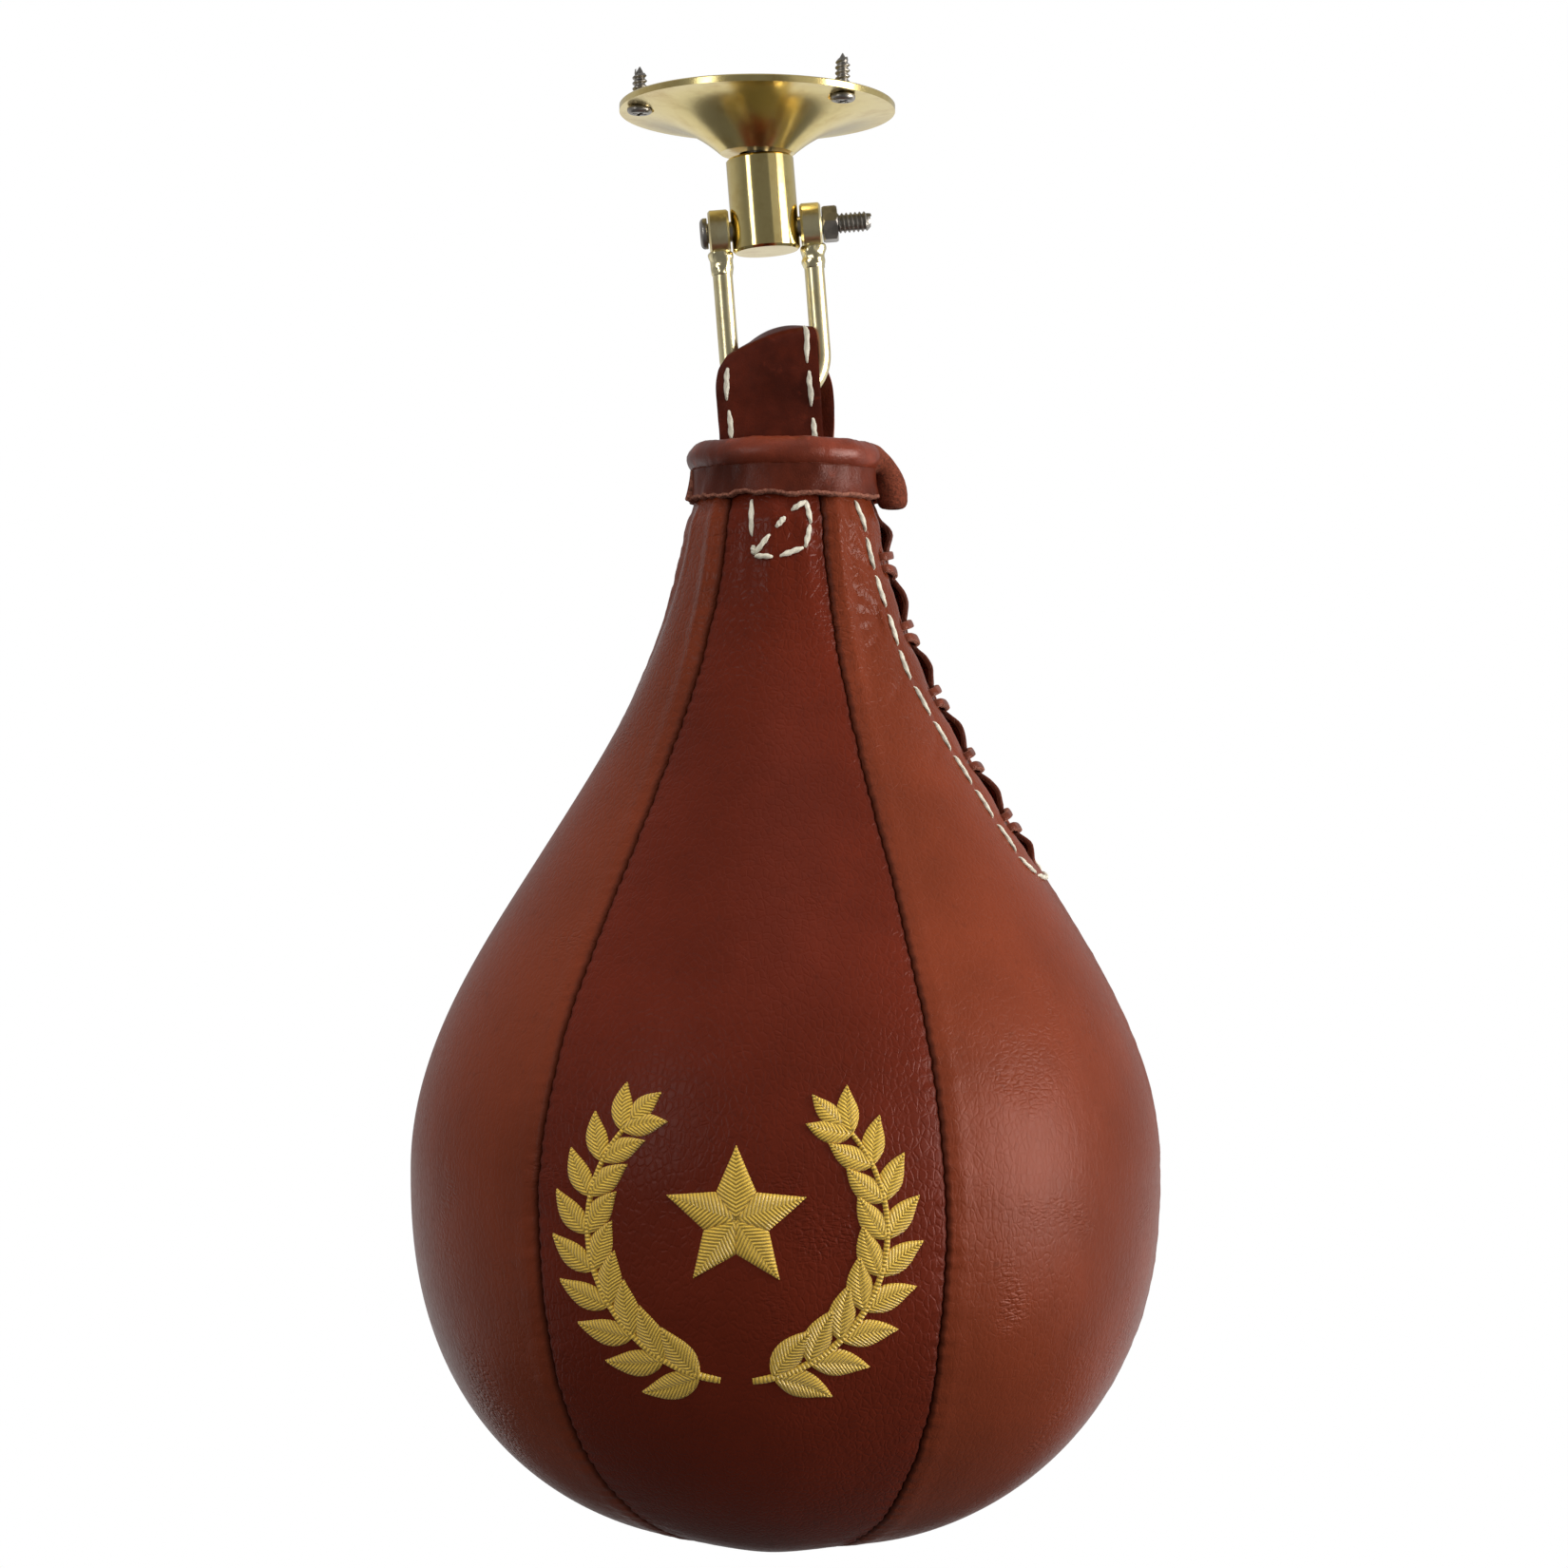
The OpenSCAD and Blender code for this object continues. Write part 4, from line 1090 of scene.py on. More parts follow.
class SPEEDBAG_OT_collar(Operator):
    """Roll the collar round the mouth"""

    bl_idname = "speedbag.collar"
    bl_label = "Collar"

    STEPS = 200
    SIDES = 24
    # Drooping end: turn, distance out and drop of its tip, and how far it runs on at either end
    TIP_TURN = math.radians(13)
    TIP_OUT = 5.4 * MM
    TIP_DROP = 10 * MM
    RUN_ON = 6 * MM
    HANG = 7 * MM
    DROOP_STEPS = 14
    # Its rounded tip: millimetres past the end, and size; the last ring goes back into the roll
    TIP = ((0.7, 0.96), (1.3, 0.86), (1.7, 0.70), (1.9, 0.45), (0.4, 0.3))
    # Bands: where they meet, how far each goes past that, and how far their last ends stand out
    LAP = math.radians(184)
    LAP_BACK = math.radians(9)
    LAP_FRONT = math.radians(4)
    FLARE_BACK = 1.3 * MM
    FLARE_FRONT = 0.4 * MM
    # How far a band goes up behind the roll, its rows, and the rounding of its edges
    TUCK = 0.4 * MM
    BAND_ROWS = 10
    ROUNDING = 0.35 * MM

    def roll(self, skin, neck):
        """The rolled strip: spun from its open side, with its front end carried on and drooping."""
        radius, ring = neck.roll_width / 2, neck.ring_width / 2
        level = skin.mouth_z + neck.roll_rise
        start = skin.direction + neck.opening / 2
        bm = bmesh.new()
        across = Matrix.Translation((ring, 0, level)) @ Matrix.Rotation(math.pi / 2, 4, "X")
        circle = bmesh.ops.create_circle(bm, segments=self.SIDES, radius=radius, matrix=across)
        edges = bm.edges[:]
        first = edges[:]
        spun = bmesh.ops.spin(
            bm, geom=circle["verts"] + edges, cent=(0, 0, 0), axis=(0, 0, 1),
            angle=math.tau - neck.opening, steps=self.STEPS, use_duplicate=False,
        )["geom_last"]
        last = [e for e in spun if isinstance(e, bmesh.types.BMEdge)]
        for v in bm.verts:
            turn = math.atan2(v.co.y, v.co.x)
            core = Vector((ring * math.cos(turn), ring * math.sin(turn), level))
            off = v.co - core
            outer = 1 if off.to_2d().dot(core.to_2d()) > 0 else -1
            round_ = math.atan2(off.z, off.to_2d().length * outer)
            lump = 0.05 * wander(turn * 5, round_, 2) + 0.035 * wander(turn * 16, round_ * 1.5, 9)
            lap = 0.07 * ease(math.sin(round_ - 0.9 + 0.15 * wander(turn * 3, 0, 0)) * 6) - 0.035
            sway = 0.35 * MM * wander(turn * 2.3, 4, 1)
            v.co = core + off * (1 + lump + lap) + Vector((0, 0, sway))
        bmesh.ops.transform(bm, matrix=Matrix.Rotation(start, 4, "Z"), verts=bm.verts[:])
        self.droop(bm, last, ring, level, skin.direction - neck.opening / 2)
        bmesh.ops.edgeloop_fill(bm, edges=first)
        bmesh.ops.translate(bm, vec=skin.axis, verts=bm.verts[:])
        return ready(bm)

    def droop(self, bm, edges, ring, level, turn):
        """Carries the roll's front end outwards and down, with its suede side out."""
        def on_ring(a, r, z):
            return Vector((r * math.cos(a), r * math.sin(a), z))

        ahead, outward = Vector((-math.sin(turn), math.cos(turn), 0)), on_ring(turn, 1, 0)
        root = on_ring(turn, ring, level)
        tip = on_ring(turn + self.TIP_TURN, ring + self.TIP_OUT, level - self.TIP_DROP)
        a, b, c, d = root, root + ahead * self.RUN_ON, tip + Vector((0, 0, self.HANG)), tip
        frames, count = [], self.DROOP_STEPS
        for i in range(count + 1):
            t = i / count
            v = 1 - t
            spot = v ** 3 * a + 3 * t * v * v * b + 3 * t * t * v * c + t ** 3 * d
            run = v * v * (b - a) + 2 * t * v * (c - b) + t * t * (d - c)
            run.normalize()
            side = run.cross(outward).normalized()
            size = 1 + 0.04 * math.sin(t * 9)
            frames.append(sized(axes(spot, side, side.cross(run), run), size, size))
        for past, size in self.TIP:
            frames.append(sized(frames[count], size, size))
            frames[-1].translation += run * past * MM
        last = carry(bm, edges, frames, {edge: 1 for edge in edges})
        bmesh.ops.edgeloop_fill(bm, edges=last)

    def band(self, skin, neck, start, end, flare):
        """The stitched strip under the roll, with a raw lower edge that isn't quite straight."""
        r = neck.band_width / 2
        low, high = skin.mouth_z - neck.band_height, skin.mouth_z + self.TUCK
        bm = bmesh.new()
        count = self.BAND_ROWS
        line = [bm.verts.new((r, 0, low + (high - low) * i / count)) for i in range(count + 1)]
        edges = [bm.edges.new(pair) for pair in zip(line, line[1:])]
        arc = end - start
        bmesh.ops.spin(
            bm, geom=line + edges, cent=(0, 0, 0), axis=(0, 0, 1), angle=arc,
            steps=int(math.degrees(arc) * 1.2), use_duplicate=False,
        )
        fringe = set()
        for v in bm.verts:
            turn = math.atan2(v.co.y, v.co.x) % math.tau
            share = turn / arc
            level = (v.co.z - low) / (high - low)
            if level < 0.01:
                fringe.add(v)
            wave = (0.9 * wander(turn * 4, 1, start) + 0.4 * wander(turn * 13, 3, start)) * MM
            out = (0.35 * wander(turn * 6, level, start) + 0.7 * (1 - level) ** 3) * MM
            out += flare * ease((share - 0.93) / 0.07) * (1 - 0.5 * level)
            x, y = (r + out) * math.cos(turn + start), (r + out) * math.sin(turn + start)
            v.co = Vector((x, y, v.co.z + wave * (1 - level))) + skin.axis
        for face in bm.faces:
            face.material_index = int(any(v in fringe for v in face.verts))
        bmesh.ops.recalc_face_normals(bm, faces=bm.faces[:])
        face = bm.faces[:][0]
        look_out(bm, face, face.calc_center_median() - skin.axis)
        return bm

    def execute(self, context):
        settings = context.scene.speed_bag
        skin, neck = Skin(settings), settings.neck
        make_piece(
            context, self.roll(skin, neck), "collar_roll", "bag",
            ["collar_leather", "dark_suede"], ["neck_collar"],
        )
        first, last = skin.direction + neck.opening / 2, math.tau + skin.direction - neck.opening / 2
        bands = (
            ("collar_band_back", first, self.LAP + self.LAP_BACK, self.FLARE_BACK),
            ("collar_band_front", self.LAP - self.LAP_FRONT, last, self.FLARE_FRONT),
        )
        for name, start, end, flare in bands:
            # The bands' darker finish is painted shade from the roll above them
            piece = make_piece(
                context, self.band(skin, neck, start, end, flare), name, "bag",
                ["band_leather", "raw_leather"], ["neck_collar"],
            )
            thicken(piece, neck.band_leather, 0.0, 1)
            soften(piece, self.ROUNDING)
        return {"FINISHED"}


class Strap:
    """The strap of the hanging loop, from its tail behind the neck over the bail to the tail in front."""

    # Middle of the leather, from the back tail to the front one, in millimetres from the loop's
    # pivot: how far back, left edge across and up, right edge across and up, rise in the middle
    STATIONS = (
        (13.0, -12.3, -51.0, 12.3, -51.0, 0.0),
        (13.0, -12.3, -40.0, 12.3, -40.0, 0.0),
        (9.0, -12.5, -34.0, 12.5, -34.0, 0.0),
        (5.7, -12.9, -27.0, 13.0, -27.0, 0.0),
        (5.6, -13.2, -17.0, 14.2, -16.0, 0.0),
        (5.4, -12.8, -7.0, 14.0, -6.5, 0.2),
        (4.9, -11.0, -1.2, 12.2, -1.0, 1.0),
        (3.4, -8.4, 2.2, 8.6, 3.8, 1.6),
        (0.0, -7.1, 2.0, 7.5, 6.4, 2.4),
        (-3.4, -8.2, 1.0, 8.6, 6.6, 1.6),
        (-4.8, -11.0, -0.4, 9.8, 5.6, 1.2),
        (-5.2, -13.4, -3.4, 10.2, 1.4, 0.8),
        (-5.5, -13.9, -8.5, 10.6, -5.0, 0.3),
        (-5.6, -13.2, -18.0, 11.3, -16.0, 0.0),
        (-5.7, -12.8, -27.0, 12.2, -27.0, 0.0),
        (-9.0, -12.5, -34.0, 12.5, -34.0, 0.0),
        (-13.0, -12.3, -40.0, 12.3, -40.0, 0.0),
        (-13.0, -12.3, -51.0, 12.3, -51.0, 0.0),
    )
    LAST = len(STATIONS) - 1
    # Steps across and along the strap that give its normal
    NEARBY = 0.01

    def station(self, p):
        """The strap's measures at a place along it, smooth between the stations."""
        i = min(int(p), self.LAST - 1)
        t = p - i
        a, b, c, d = (self.STATIONS[min(max(k, 0), self.LAST)] for k in (i - 1, i, i + 1, i + 2))
        measures = []
        for o, q, r, s in zip(a, b, c, d):
            second, third = 2 * o - 5 * q + 4 * r - s, 3 * q - o - 3 * r + s
            measures.append(0.5 * (2 * q + (r - o) * t + second * t * t + third * t ** 3))
        return measures

    def point(self, across, p):
        """A point in the middle of the leather; across runs from -1 at the left to 1 at the right."""
        y, left_x, left_z, right_x, right_z, rise = self.station(p)
        share = (across + 1) / 2
        x = left_x + (right_x - left_x) * share
        z = left_z + (right_z - left_z) * share + rise * (1 - across * across)
        buckle = 0.25 * wander(x / 7, z / 9, 3 + (y > 0)) + 0.15 * wander(x / 3, z / 3, 6 + (y > 0))
        cup = 0.5 * across * across * (1 if y < 0 else -1) * ease(abs(y) / 5)
        return LOOP_PIVOT + Vector((x, y + buckle + cup, z)) * MM

    def spot(self, across, p, lift):
        """A point off the outer face of the leather, and the face's normal."""
        step = self.NEARBY
        round_ = self.point(across + step, p) - self.point(across - step, p)
        along = self.point(across, p + step) - self.point(across, p - step)
        off = along.cross(round_).normalized()
        return self.point(across, p) + off * lift, off


class SPEEDBAG_OT_loop(Operator):
    """Hang the strap loop over the bail"""

    bl_idname = "speedbag.loop"
    bl_label = "Hanging loop"

    # Faces across and along the strap, and the rounding of its edges
    ACROSS = 30
    ALONG = 150
    ROUNDING = 0.45 * MM

    def execute(self, context):
        wall = context.scene.speed_bag.neck.strap_leather
        strap = Strap()
        bm = bmesh.new()
        bmesh.ops.create_grid(bm, x_segments=self.ACROSS, y_segments=self.ALONG, size=1)
        for v in bm.verts:
            v.co = strap.point(v.co.x, (v.co.y + 1) / 2 * strap.LAST)
        bmesh.ops.recalc_face_normals(bm, faces=bm.faces[:])
        front = min(bm.faces, key=lambda face: face.calc_center_median().y)
        look_out(bm, front, Vector((0, -1, 0)))
        piece = make_piece(
            context, bm, "strap_loop", "bag", ["strap_leather", "raw_leather"], ["hang_loop"]
        )
        thicken(piece, wall, 0.0, 1)
        soften(piece, self.ROUNDING)
        return {"FINISHED"}


class Thread:
    """Saddle stitches laid along paths of points with normals."""

    SIDES = 10
    STATIONS = 11
    # A stitch's height as a share of its width, how far it stands off and how deep its ends go,
    # its least thickness, and the twist of its plies in radians
    FLATNESS = 0.40
    STAND = 0.20
    DIVE = 0.55
    THINNEST = 0.22
    TWIST = 9.0
    # How far a stitch of a row strays from its place
    STRAY = 0.6 * MM

    def __init__(self, thread):
        self.thread = thread
        self.bm = bmesh.new()

    def stitch(self, path, width):
        """One stitch: two plies twisted together, whose ends go down into the leather."""
        section = []
        for i in range(self.SIDES):
            a = math.tau * i / self.SIDES
            r = 1 + 0.14 * math.cos(2 * a)
            section.append((r * math.cos(a), r * math.sin(a)))
        frames = []
        for i in range(self.STATIONS):
            share = i / (self.STATIONS - 1)
            spot, off = self.along(path, share)
            before, after = max(share - 0.05, 0), min(share + 0.05, 1)
            ahead = self.along(path, after)[0] - self.along(path, before)[0]
            ahead.normalize()
            side = ahead.cross(off).normalized()
            off = side.cross(ahead)
            end = 2 * share - 1
            thick = max(self.THINNEST, (1 - abs(end) ** 2.6) ** 0.65)
            spot = spot + off * width * (self.STAND - self.DIVE * end ** 10)
            twist = Matrix.Rotation(share * self.TWIST, 4, "Z")
            here = axes(spot, side, off, ahead)
            frames.append(sized(here, width / 2 * thick, width * self.FLATNESS * thick) @ twist)
        sweep(self.bm, section, frames)

    @staticmethod
    def along(path, share):
        """A point and normal part of the way along a path."""
        k = share * (len(path) - 1)
        i = min(int(k), len(path) - 2)
        f = k - i
        return path[i][0].lerp(path[i + 1][0], f), path[i][1].lerp(path[i + 1][1], f).normalized()

    def run(self, path):
        """A row of stitches along a path, evenly spaced over its length."""
        thread = self.thread
        runs = [0.0]
        for a, b in zip(path, path[1:]):
            runs.append(runs[-1] + (b[0] - a[0]).length)
        count = max(1, round((runs[-1] + thread.gap) / (thread.stitch + thread.gap)))
        pace = (runs[-1] + thread.gap) / count
        for i in range(count):
            stray = self.STRAY * wander(i * 1.7, 3, 4)
            low = max(0.0, i * pace + stray)
            high = min(runs[-1], (i + 1) * pace - thread.gap + stray)
            spots = [self.at(path, runs, low + (high - low) * j / 6) for j in range(7)]
            self.stitch(spots, thread.width)

    @classmethod
    def at(cls, path, runs, distance):
        """A point and normal at a distance along a path."""
        i = min(max(bisect.bisect(runs, distance) - 1, 0), len(path) - 2)
        share = (distance - runs[i]) / (runs[i + 1] - runs[i])
        return cls.along(path[i:i + 2], share)


class Touch:
    """Finds points on the finished leather."""

    # A place in front of the bag
    FRONT_Y = -0.3

    def __init__(self, context, names):
        context.view_layer.update()
        graph = context.evaluated_depsgraph_get()
        self.trees = [BVHTree.FromObject(bpy.data.objects[name], graph) for name in names]

    def cast(self, origin, heading):
        """The nearest point in that direction, and its normal."""
        hits = [tree.ray_cast(origin, heading) for tree in self.trees]
        hits = [hit for hit in hits if hit[0] is not None]
        if not hits:
            raise RuntimeError("no leather under a stitch")
        spot, off, _, _ = min(hits, key=lambda hit: hit[3])
        return spot, (off if off.dot(heading) < 0 else -off)

    def from_front(self, x, z):
        """The point of the leather that shows there from in front, and its normal."""
        return self.cast(Vector((x, self.FRONT_Y, z)), Vector((0, 1, 0)))


PANEL_PIECES = ["sewn_" + node for node in PANEL_PLACES]


class SPEEDBAG_OT_stitches(Operator):
    """Lay the cream saddle stitches"""

    bl_idname = "speedbag.stitches"
    bl_label = "Stitches"

    # Box stitching on the front of the neck: ends of each stitch, across and up in millimetres
    BOX = (
        ((-7.9, -96.4), (-7.9, -104.8)), ((-7.5, -107.2), (-7.4, -109.4)), ((-7.2, -109.8), (-3.1, -110.0)),
        ((-1.3, -109.8), (4.0, -107.8)), ((4.5, -107.6), (5.5, -102.4)), ((5.7, -102.0), (4.5, -96.6)),
        ((-7.1, -109.3), (-3.8, -104.8)), ((-2.3, -103.0), (-0.2, -100.6)), ((1.3, -99.0), (4.5, -96.8)),
    )

    # Stitches on the strap: how far across, and the stations where each begins and ends
    MARGINS = (
        (0.77, 9.3, 11.45), (0.80, 11.75, 12.6), (0.82, 12.85, 13.4),
        (-0.80, 11.0, 12.25), (-0.77, 12.5, 13.2),
        (0.80, 6.4, 5.1), (0.80, 4.9, 4.05), (0.80, 3.8, 2.9),
        (-0.80, 6.4, 5.1), (-0.80, 4.9, 4.05), (-0.80, 3.8, 2.9),
    )
    # How much longer the stitches of the strap and of the box are than their ends say
    MARGIN_LONGER = 1.12
    BOX_LONGER = 1.16
    # Points along a stitch of the strap and of the box, down a side of the opening and round its end
    MARGIN_STOPS = 12
    BOX_STOPS = 8
    SIDE_STOPS = 80
    END_STOPS = 30
    # Row round the opening: its upper end on the shoulder, how far it turns about the opening's end,
    # and its distance from the opening, what is added low down and its stray, in millimetres
    TOP = 1.03
    TURN = 0.02
    AWAY = 13.2
    WIDER = 3.6
    STRAY = 0.9

    @staticmethod
    def shares(longer, stops):
        """Places along a stitch that reaches past its ends."""
        return [0.5 + longer * (i / stops - 0.5) for i in range(stops + 1)]

    def margin(self, strap, across, low, high, half):
        """A path along the strap's face."""
        shares = self.shares(self.MARGIN_LONGER, self.MARGIN_STOPS)
        return [strap.spot(across, low + (high - low) * share, half) for share in shares]

    def around_slit(self, touch, skin, lacing):
        """A path down one side of the opening, round its end and up the other side."""
        path, low, end = [], lacing.slit_end + self.TURN, lacing.slit_end - self.TURN
        stops = self.SIDE_STOPS
        for side in (-1, 1):
            leg = []
            for i in range(stops):
                u = low + (self.TOP - low) * i / (stops - 1)
                margin = self.AWAY + self.WIDER * ease((0.88 - u) / 0.12)
                margin += self.STRAY * wander(u * 22, side, 0)
                leg.append((u, side * margin))
            path = leg[::-1] if side < 0 else path + self.turn_round(path[-1][1], end, low) + leg
        spots = []
        for u, away in path:
            spot = skin.beside_lacing(u, away * MM, 0)
            off = spot.col[1].xyz
            spots.append(touch.cast(spot.translation + off * 20 * MM, -off))
        return spots

    def turn_round(self, wide, end, low):
        """The half circle below the end of the opening."""
        turns = [math.pi * i / self.END_STOPS for i in range(1, self.END_STOPS)]
        return [(low - (low - end) * math.sin(turn), wide * math.cos(turn)) for turn in turns]

    def execute(self, context):
        settings = context.scene.speed_bag
        skin, lacing = Skin(settings), settings.lacing
        thread = Thread(settings.thread)
        strap, half = Strap(), settings.neck.strap_leather / 2
        for across, low, high in self.MARGINS:
            thread.stitch(self.margin(strap, across, low, high, half), settings.thread.width)
        touch = Touch(context, PANEL_PIECES)
        for (x_a, z_a), (x_b, z_b) in self.BOX:
            path = []
            for share in self.shares(self.BOX_LONGER, self.BOX_STOPS):
                x, z = x_a + (x_b - x_a) * share, z_a + (z_b - z_a) * share
                path.append(touch.from_front(skin.axis.x + x * MM, z * MM))
            thread.stitch(path, settings.thread.width)
        thread.run(self.around_slit(touch, skin, lacing))
        make_piece(context, ready(thread.bm), "saddle_stitches", "bag", ["cream_thread"])
        return {"FINISHED"}


class SPEEDBAG_OT_embroidery(Operator):
    """Embroider a laurel wreath and a star on the front panel"""

    bl_idname = "speedbag.embroidery"
    bl_label = "Embroidery"

    # Height of a patch, how far its rim goes into the leather, and the thickness of its back
    HEIGHT = 0.85 * MM
    SINK = 0.15 * MM
    BACK = 0.3 * MM
    # Places of the wreath's middle beside the bag's axis and of the star above the wreath's middle
    WREATH_X = -10.5 * MM
    STAR_RISE = 2 * MM
    # Branches: where they start from the bottom, how far they go, in degrees, and leaves on each
    BRANCH_START = 6
    BRANCH_TURN = 128
    LEAVES = 9
    # Leaves: length at the root, what is lost by the tip, in millimetres, spread in radians, fatness
    LEAF = 13.5
    LEAF_LOSS = 3.5
    LEAF_SPREAD = 0.62
    LEAF_FAT = 0.25
    END_LEAF = 9 * MM
    END_LEAF_FAT = 2.2 * MM
    # Star: its rays, their length, half width in millimetres and where they are widest
    RAYS = 5
    RAY = 15.5 * MM
    RAY_WIDE = 4.6
    RAY_WIDEST = 0.36

    def patch(self, touch, spine, width, cells, slant):
        """A raised patch of satin stitch about a spine of points across and up."""
        bm, lay = self.bm, self.lay
        made = bmesh.ops.create_grid(bm, x_segments=cells[0], y_segments=cells[1], size=1)["verts"]
        run = sum((b - a).length for a, b in zip(spine, spine[1:]))
        maps = {}
        for v in made:
            share, side = (v.co.x + 1) / 2, v.co.y
            k = share * (len(spine) - 1)
            i = min(int(k), len(spine) - 2)
            spot = spine[i].lerp(spine[i + 1], k - i)
            ahead = (spine[i + 1] - spine[i]).normalized()
            reach = width(share)
            flat = spot + Vector((-ahead.y, ahead.x)) * side * reach
            hit, off = touch.from_front(flat.x, flat.y)
            dome = max(0.0, 1 - side * side) ** 0.5
            valley = 1 - 0.45 * bell(side, 0.12) * slant
            ends = ease(share / 0.06) * ease((1 - share) / 0.06)
            maps[v] = ((share * run - abs(side) * reach * slant) / MM, side * reach / MM)
            v.co = hit + off * (self.HEIGHT * dome * valley * (0.35 + 0.65 * ends) - self.SINK)
        for face in {face for v in made for face in v.link_faces}:
            for loop in face.loops:
                loop[lay].uv = maps[loop.vert]

    def leaf(self, touch, root, heading, size, fat):
        """One laurel leaf."""
        tip = root + Vector((math.cos(heading), math.sin(heading))) * size
        bow = Vector((-math.sin(heading), math.cos(heading))) * size * 0.10
        middle = (root + tip) / 2 + bow
        shares = [i / 8 for i in range(9)]
        spine = [root * (1 - t) ** 2 + 2 * middle * t * (1 - t) + tip * t * t for t in shares]

        def width(t):
            return fat * (math.sin(math.pi * min(1, t ** 0.8)) * 0.98 + 0.02)

        self.patch(touch, spine, width, (18, 10), 0.9)

    def branch(self, touch, on_branch):
        """A stem with pairs of leaves and one at its end."""
        stem = [on_branch(t / 24) for t in range(25)]
        self.patch(touch, stem, lambda t: (1.0 - 0.45 * t) * MM, (60, 4), 0.0)
        for i in range(self.LEAVES):
            t = 0.06 + 0.90 * i / (self.LEAVES - 1)
            root = on_branch(t)
            ahead = on_branch(t + 0.02) - root
            heading = math.atan2(ahead.y, ahead.x)
            size = (self.LEAF - self.LEAF_LOSS * t) * MM
            for swing in (self.LEAF_SPREAD, -self.LEAF_SPREAD):
                self.leaf(touch, root, heading + swing, size, size * self.LEAF_FAT)
        tip = on_branch(1.0)
        ahead = on_branch(1.02) - tip
        self.leaf(touch, tip, math.atan2(ahead.y, ahead.x), self.END_LEAF, self.END_LEAF_FAT)

    def star(self, touch, middle):
        """Five rays from a middle, widest part of the way out."""
        def width(t):
            if t < self.RAY_WIDEST:
                return (0.4 + 4.2 * min(1, t / self.RAY_WIDEST)) * MM
            return (self.RAY_WIDE * (1 - t) / (1 - self.RAY_WIDEST) + 0.08) * MM

        for i in range(self.RAYS):
            a = math.radians(90 + 360 / self.RAYS * i)
            ray = Vector((math.cos(a), math.sin(a)))
            self.patch(touch, [middle + ray * self.RAY * t / 8 for t in range(9)], width, (18, 8), 0.6)

    def execute(self, context):
        settings = context.scene.speed_bag
        skin, thread = Skin(settings), settings.thread
        touch = Touch(context, ["sewn_panel_front"])
        middle = Vector((skin.axis.x + self.WREATH_X, skin.mouth_z - thread.wreath_drop))
        self.bm = bmesh.new()
        self.lay = self.bm.loops.layers.uv.new("lay")

        def on_branch(side, t):
            a = math.radians(-90 + side * (self.BRANCH_START + self.BRANCH_TURN * t))
            return middle + Vector((math.cos(a), math.sin(a))) * thread.wreath * (1 - 0.05 * t)

        for side in (-1, 1):
            self.branch(touch, functools.partial(on_branch, side))
        self.star(touch, middle + Vector((0, self.STAR_RISE)))
        bmesh.ops.recalc_face_normals(self.bm, faces=self.bm.faces[:])
        flip = [face for face in self.bm.faces if face.normal.y > 0.2]
        bmesh.ops.reverse_faces(self.bm, faces=flip)
        piece = make_piece(context, self.bm, "wreath_embroidery", "bag", ["gold_thread"])
        thicken(piece, self.BACK)
        return {"FINISHED"}


def bail_frame():
    """The bail's leaning frame: X along the bolt, Z up."""
    lean = -math.atan2(BOLT_AXIS.z, BOLT_AXIS.x)
    return Matrix.Translation(BOLT_CENTRE) @ Matrix.Rotation(lean, 4, "Y")


class SPEEDBAG_OT_swivel(Operator):
    """Finish the brass and steel of the swivel, and braze the bail's eyes"""

    bl_idname = "speedbag.swivel"
    bl_label = "Swivel"

    LOOKS = {
        "mounting_flange": "spun_brass",
        "ball_seat": "polished_brass",
        "ball_stud": "plated_steel",
        "swivel_barrel": "polished_brass",
        "pivot_nut": "plated_steel",
        "bail_rod": "drawn_brass",
        "bail_eye_left": "drawn_brass",
        "bail_eye_right": "drawn_brass",
    }
    # Distance of a leg from the middle of the bolt
    LEG = 11.0 * MM
    # A bead of braze round a leg: radius and height from the bolt, in millimetres
    BEAD = (
        (0, -10.6), (2.0, -10.6), (2.5, -10.2), (2.62, -9.6), (2.75, -8.9), (2.78, -8.3), (2.74, -7.7),
        (2.8, -7.0), (2.95, -6.3), (3.05, -5.6), (3.0, -5.0), (2.5, -4.5), (2.0, -4.2), (0, -4.2),
    )

    def execute(self, context):
        for name, look in self.LOOKS.items():
            frame["nodes"][name].material_slots[0].material = finish(context, look)
        bm = bmesh.new()
        for side in (-1, 1):
            bead = bmesh.new()
            turned(bead, [(r * MM, z * MM) for r, z in self.BEAD], 40)
            bmesh.ops.subdivide_edges(bead, edges=bead.edges[:], cuts=1, use_grid_fill=True, smooth=0.5)
            for v in bead.verts:
                out = v.co.to_2d()
                lump = 0.13 * wander(v.co.x / 0.0022, v.co.y / 0.0022, v.co.z / 0.0020 + side * 7)
                lump += 0.035 * wander(v.co.x / 0.0010, v.co.y / 0.0010, v.co.z / 0.0010 + side * 3)
                v.co.x, v.co.y = out * (1 + lump)
                v.co.z += lump * 1.2 * MM
            spot = bail_frame() @ Matrix.Translation((side * self.LEG, 0, 0))
            bmesh.ops.transform(bead, matrix=spot, verts=bead.verts[:])
            join(bm, bead)
        make_piece(
            context, ready(bm), "brazed_beads", "bail", ["brazed_brass"], ["bail_brazing"]
        )
        return {"FINISHED"}


def pan_profile(radius, height, base):
    """A pan head below its seat, as radius and height from its crown to its rim."""
    points = [(0, base - height)]
    for i in range(9):
        a = math.pi / 2 * i / 8
        points.append((radius * (0.62 + 0.38 * math.sin(a)), base - height * (0.4 + 0.6 * math.cos(a))))
    return points + [(radius, base - 0.12 * height), (radius * 0.97, base)]


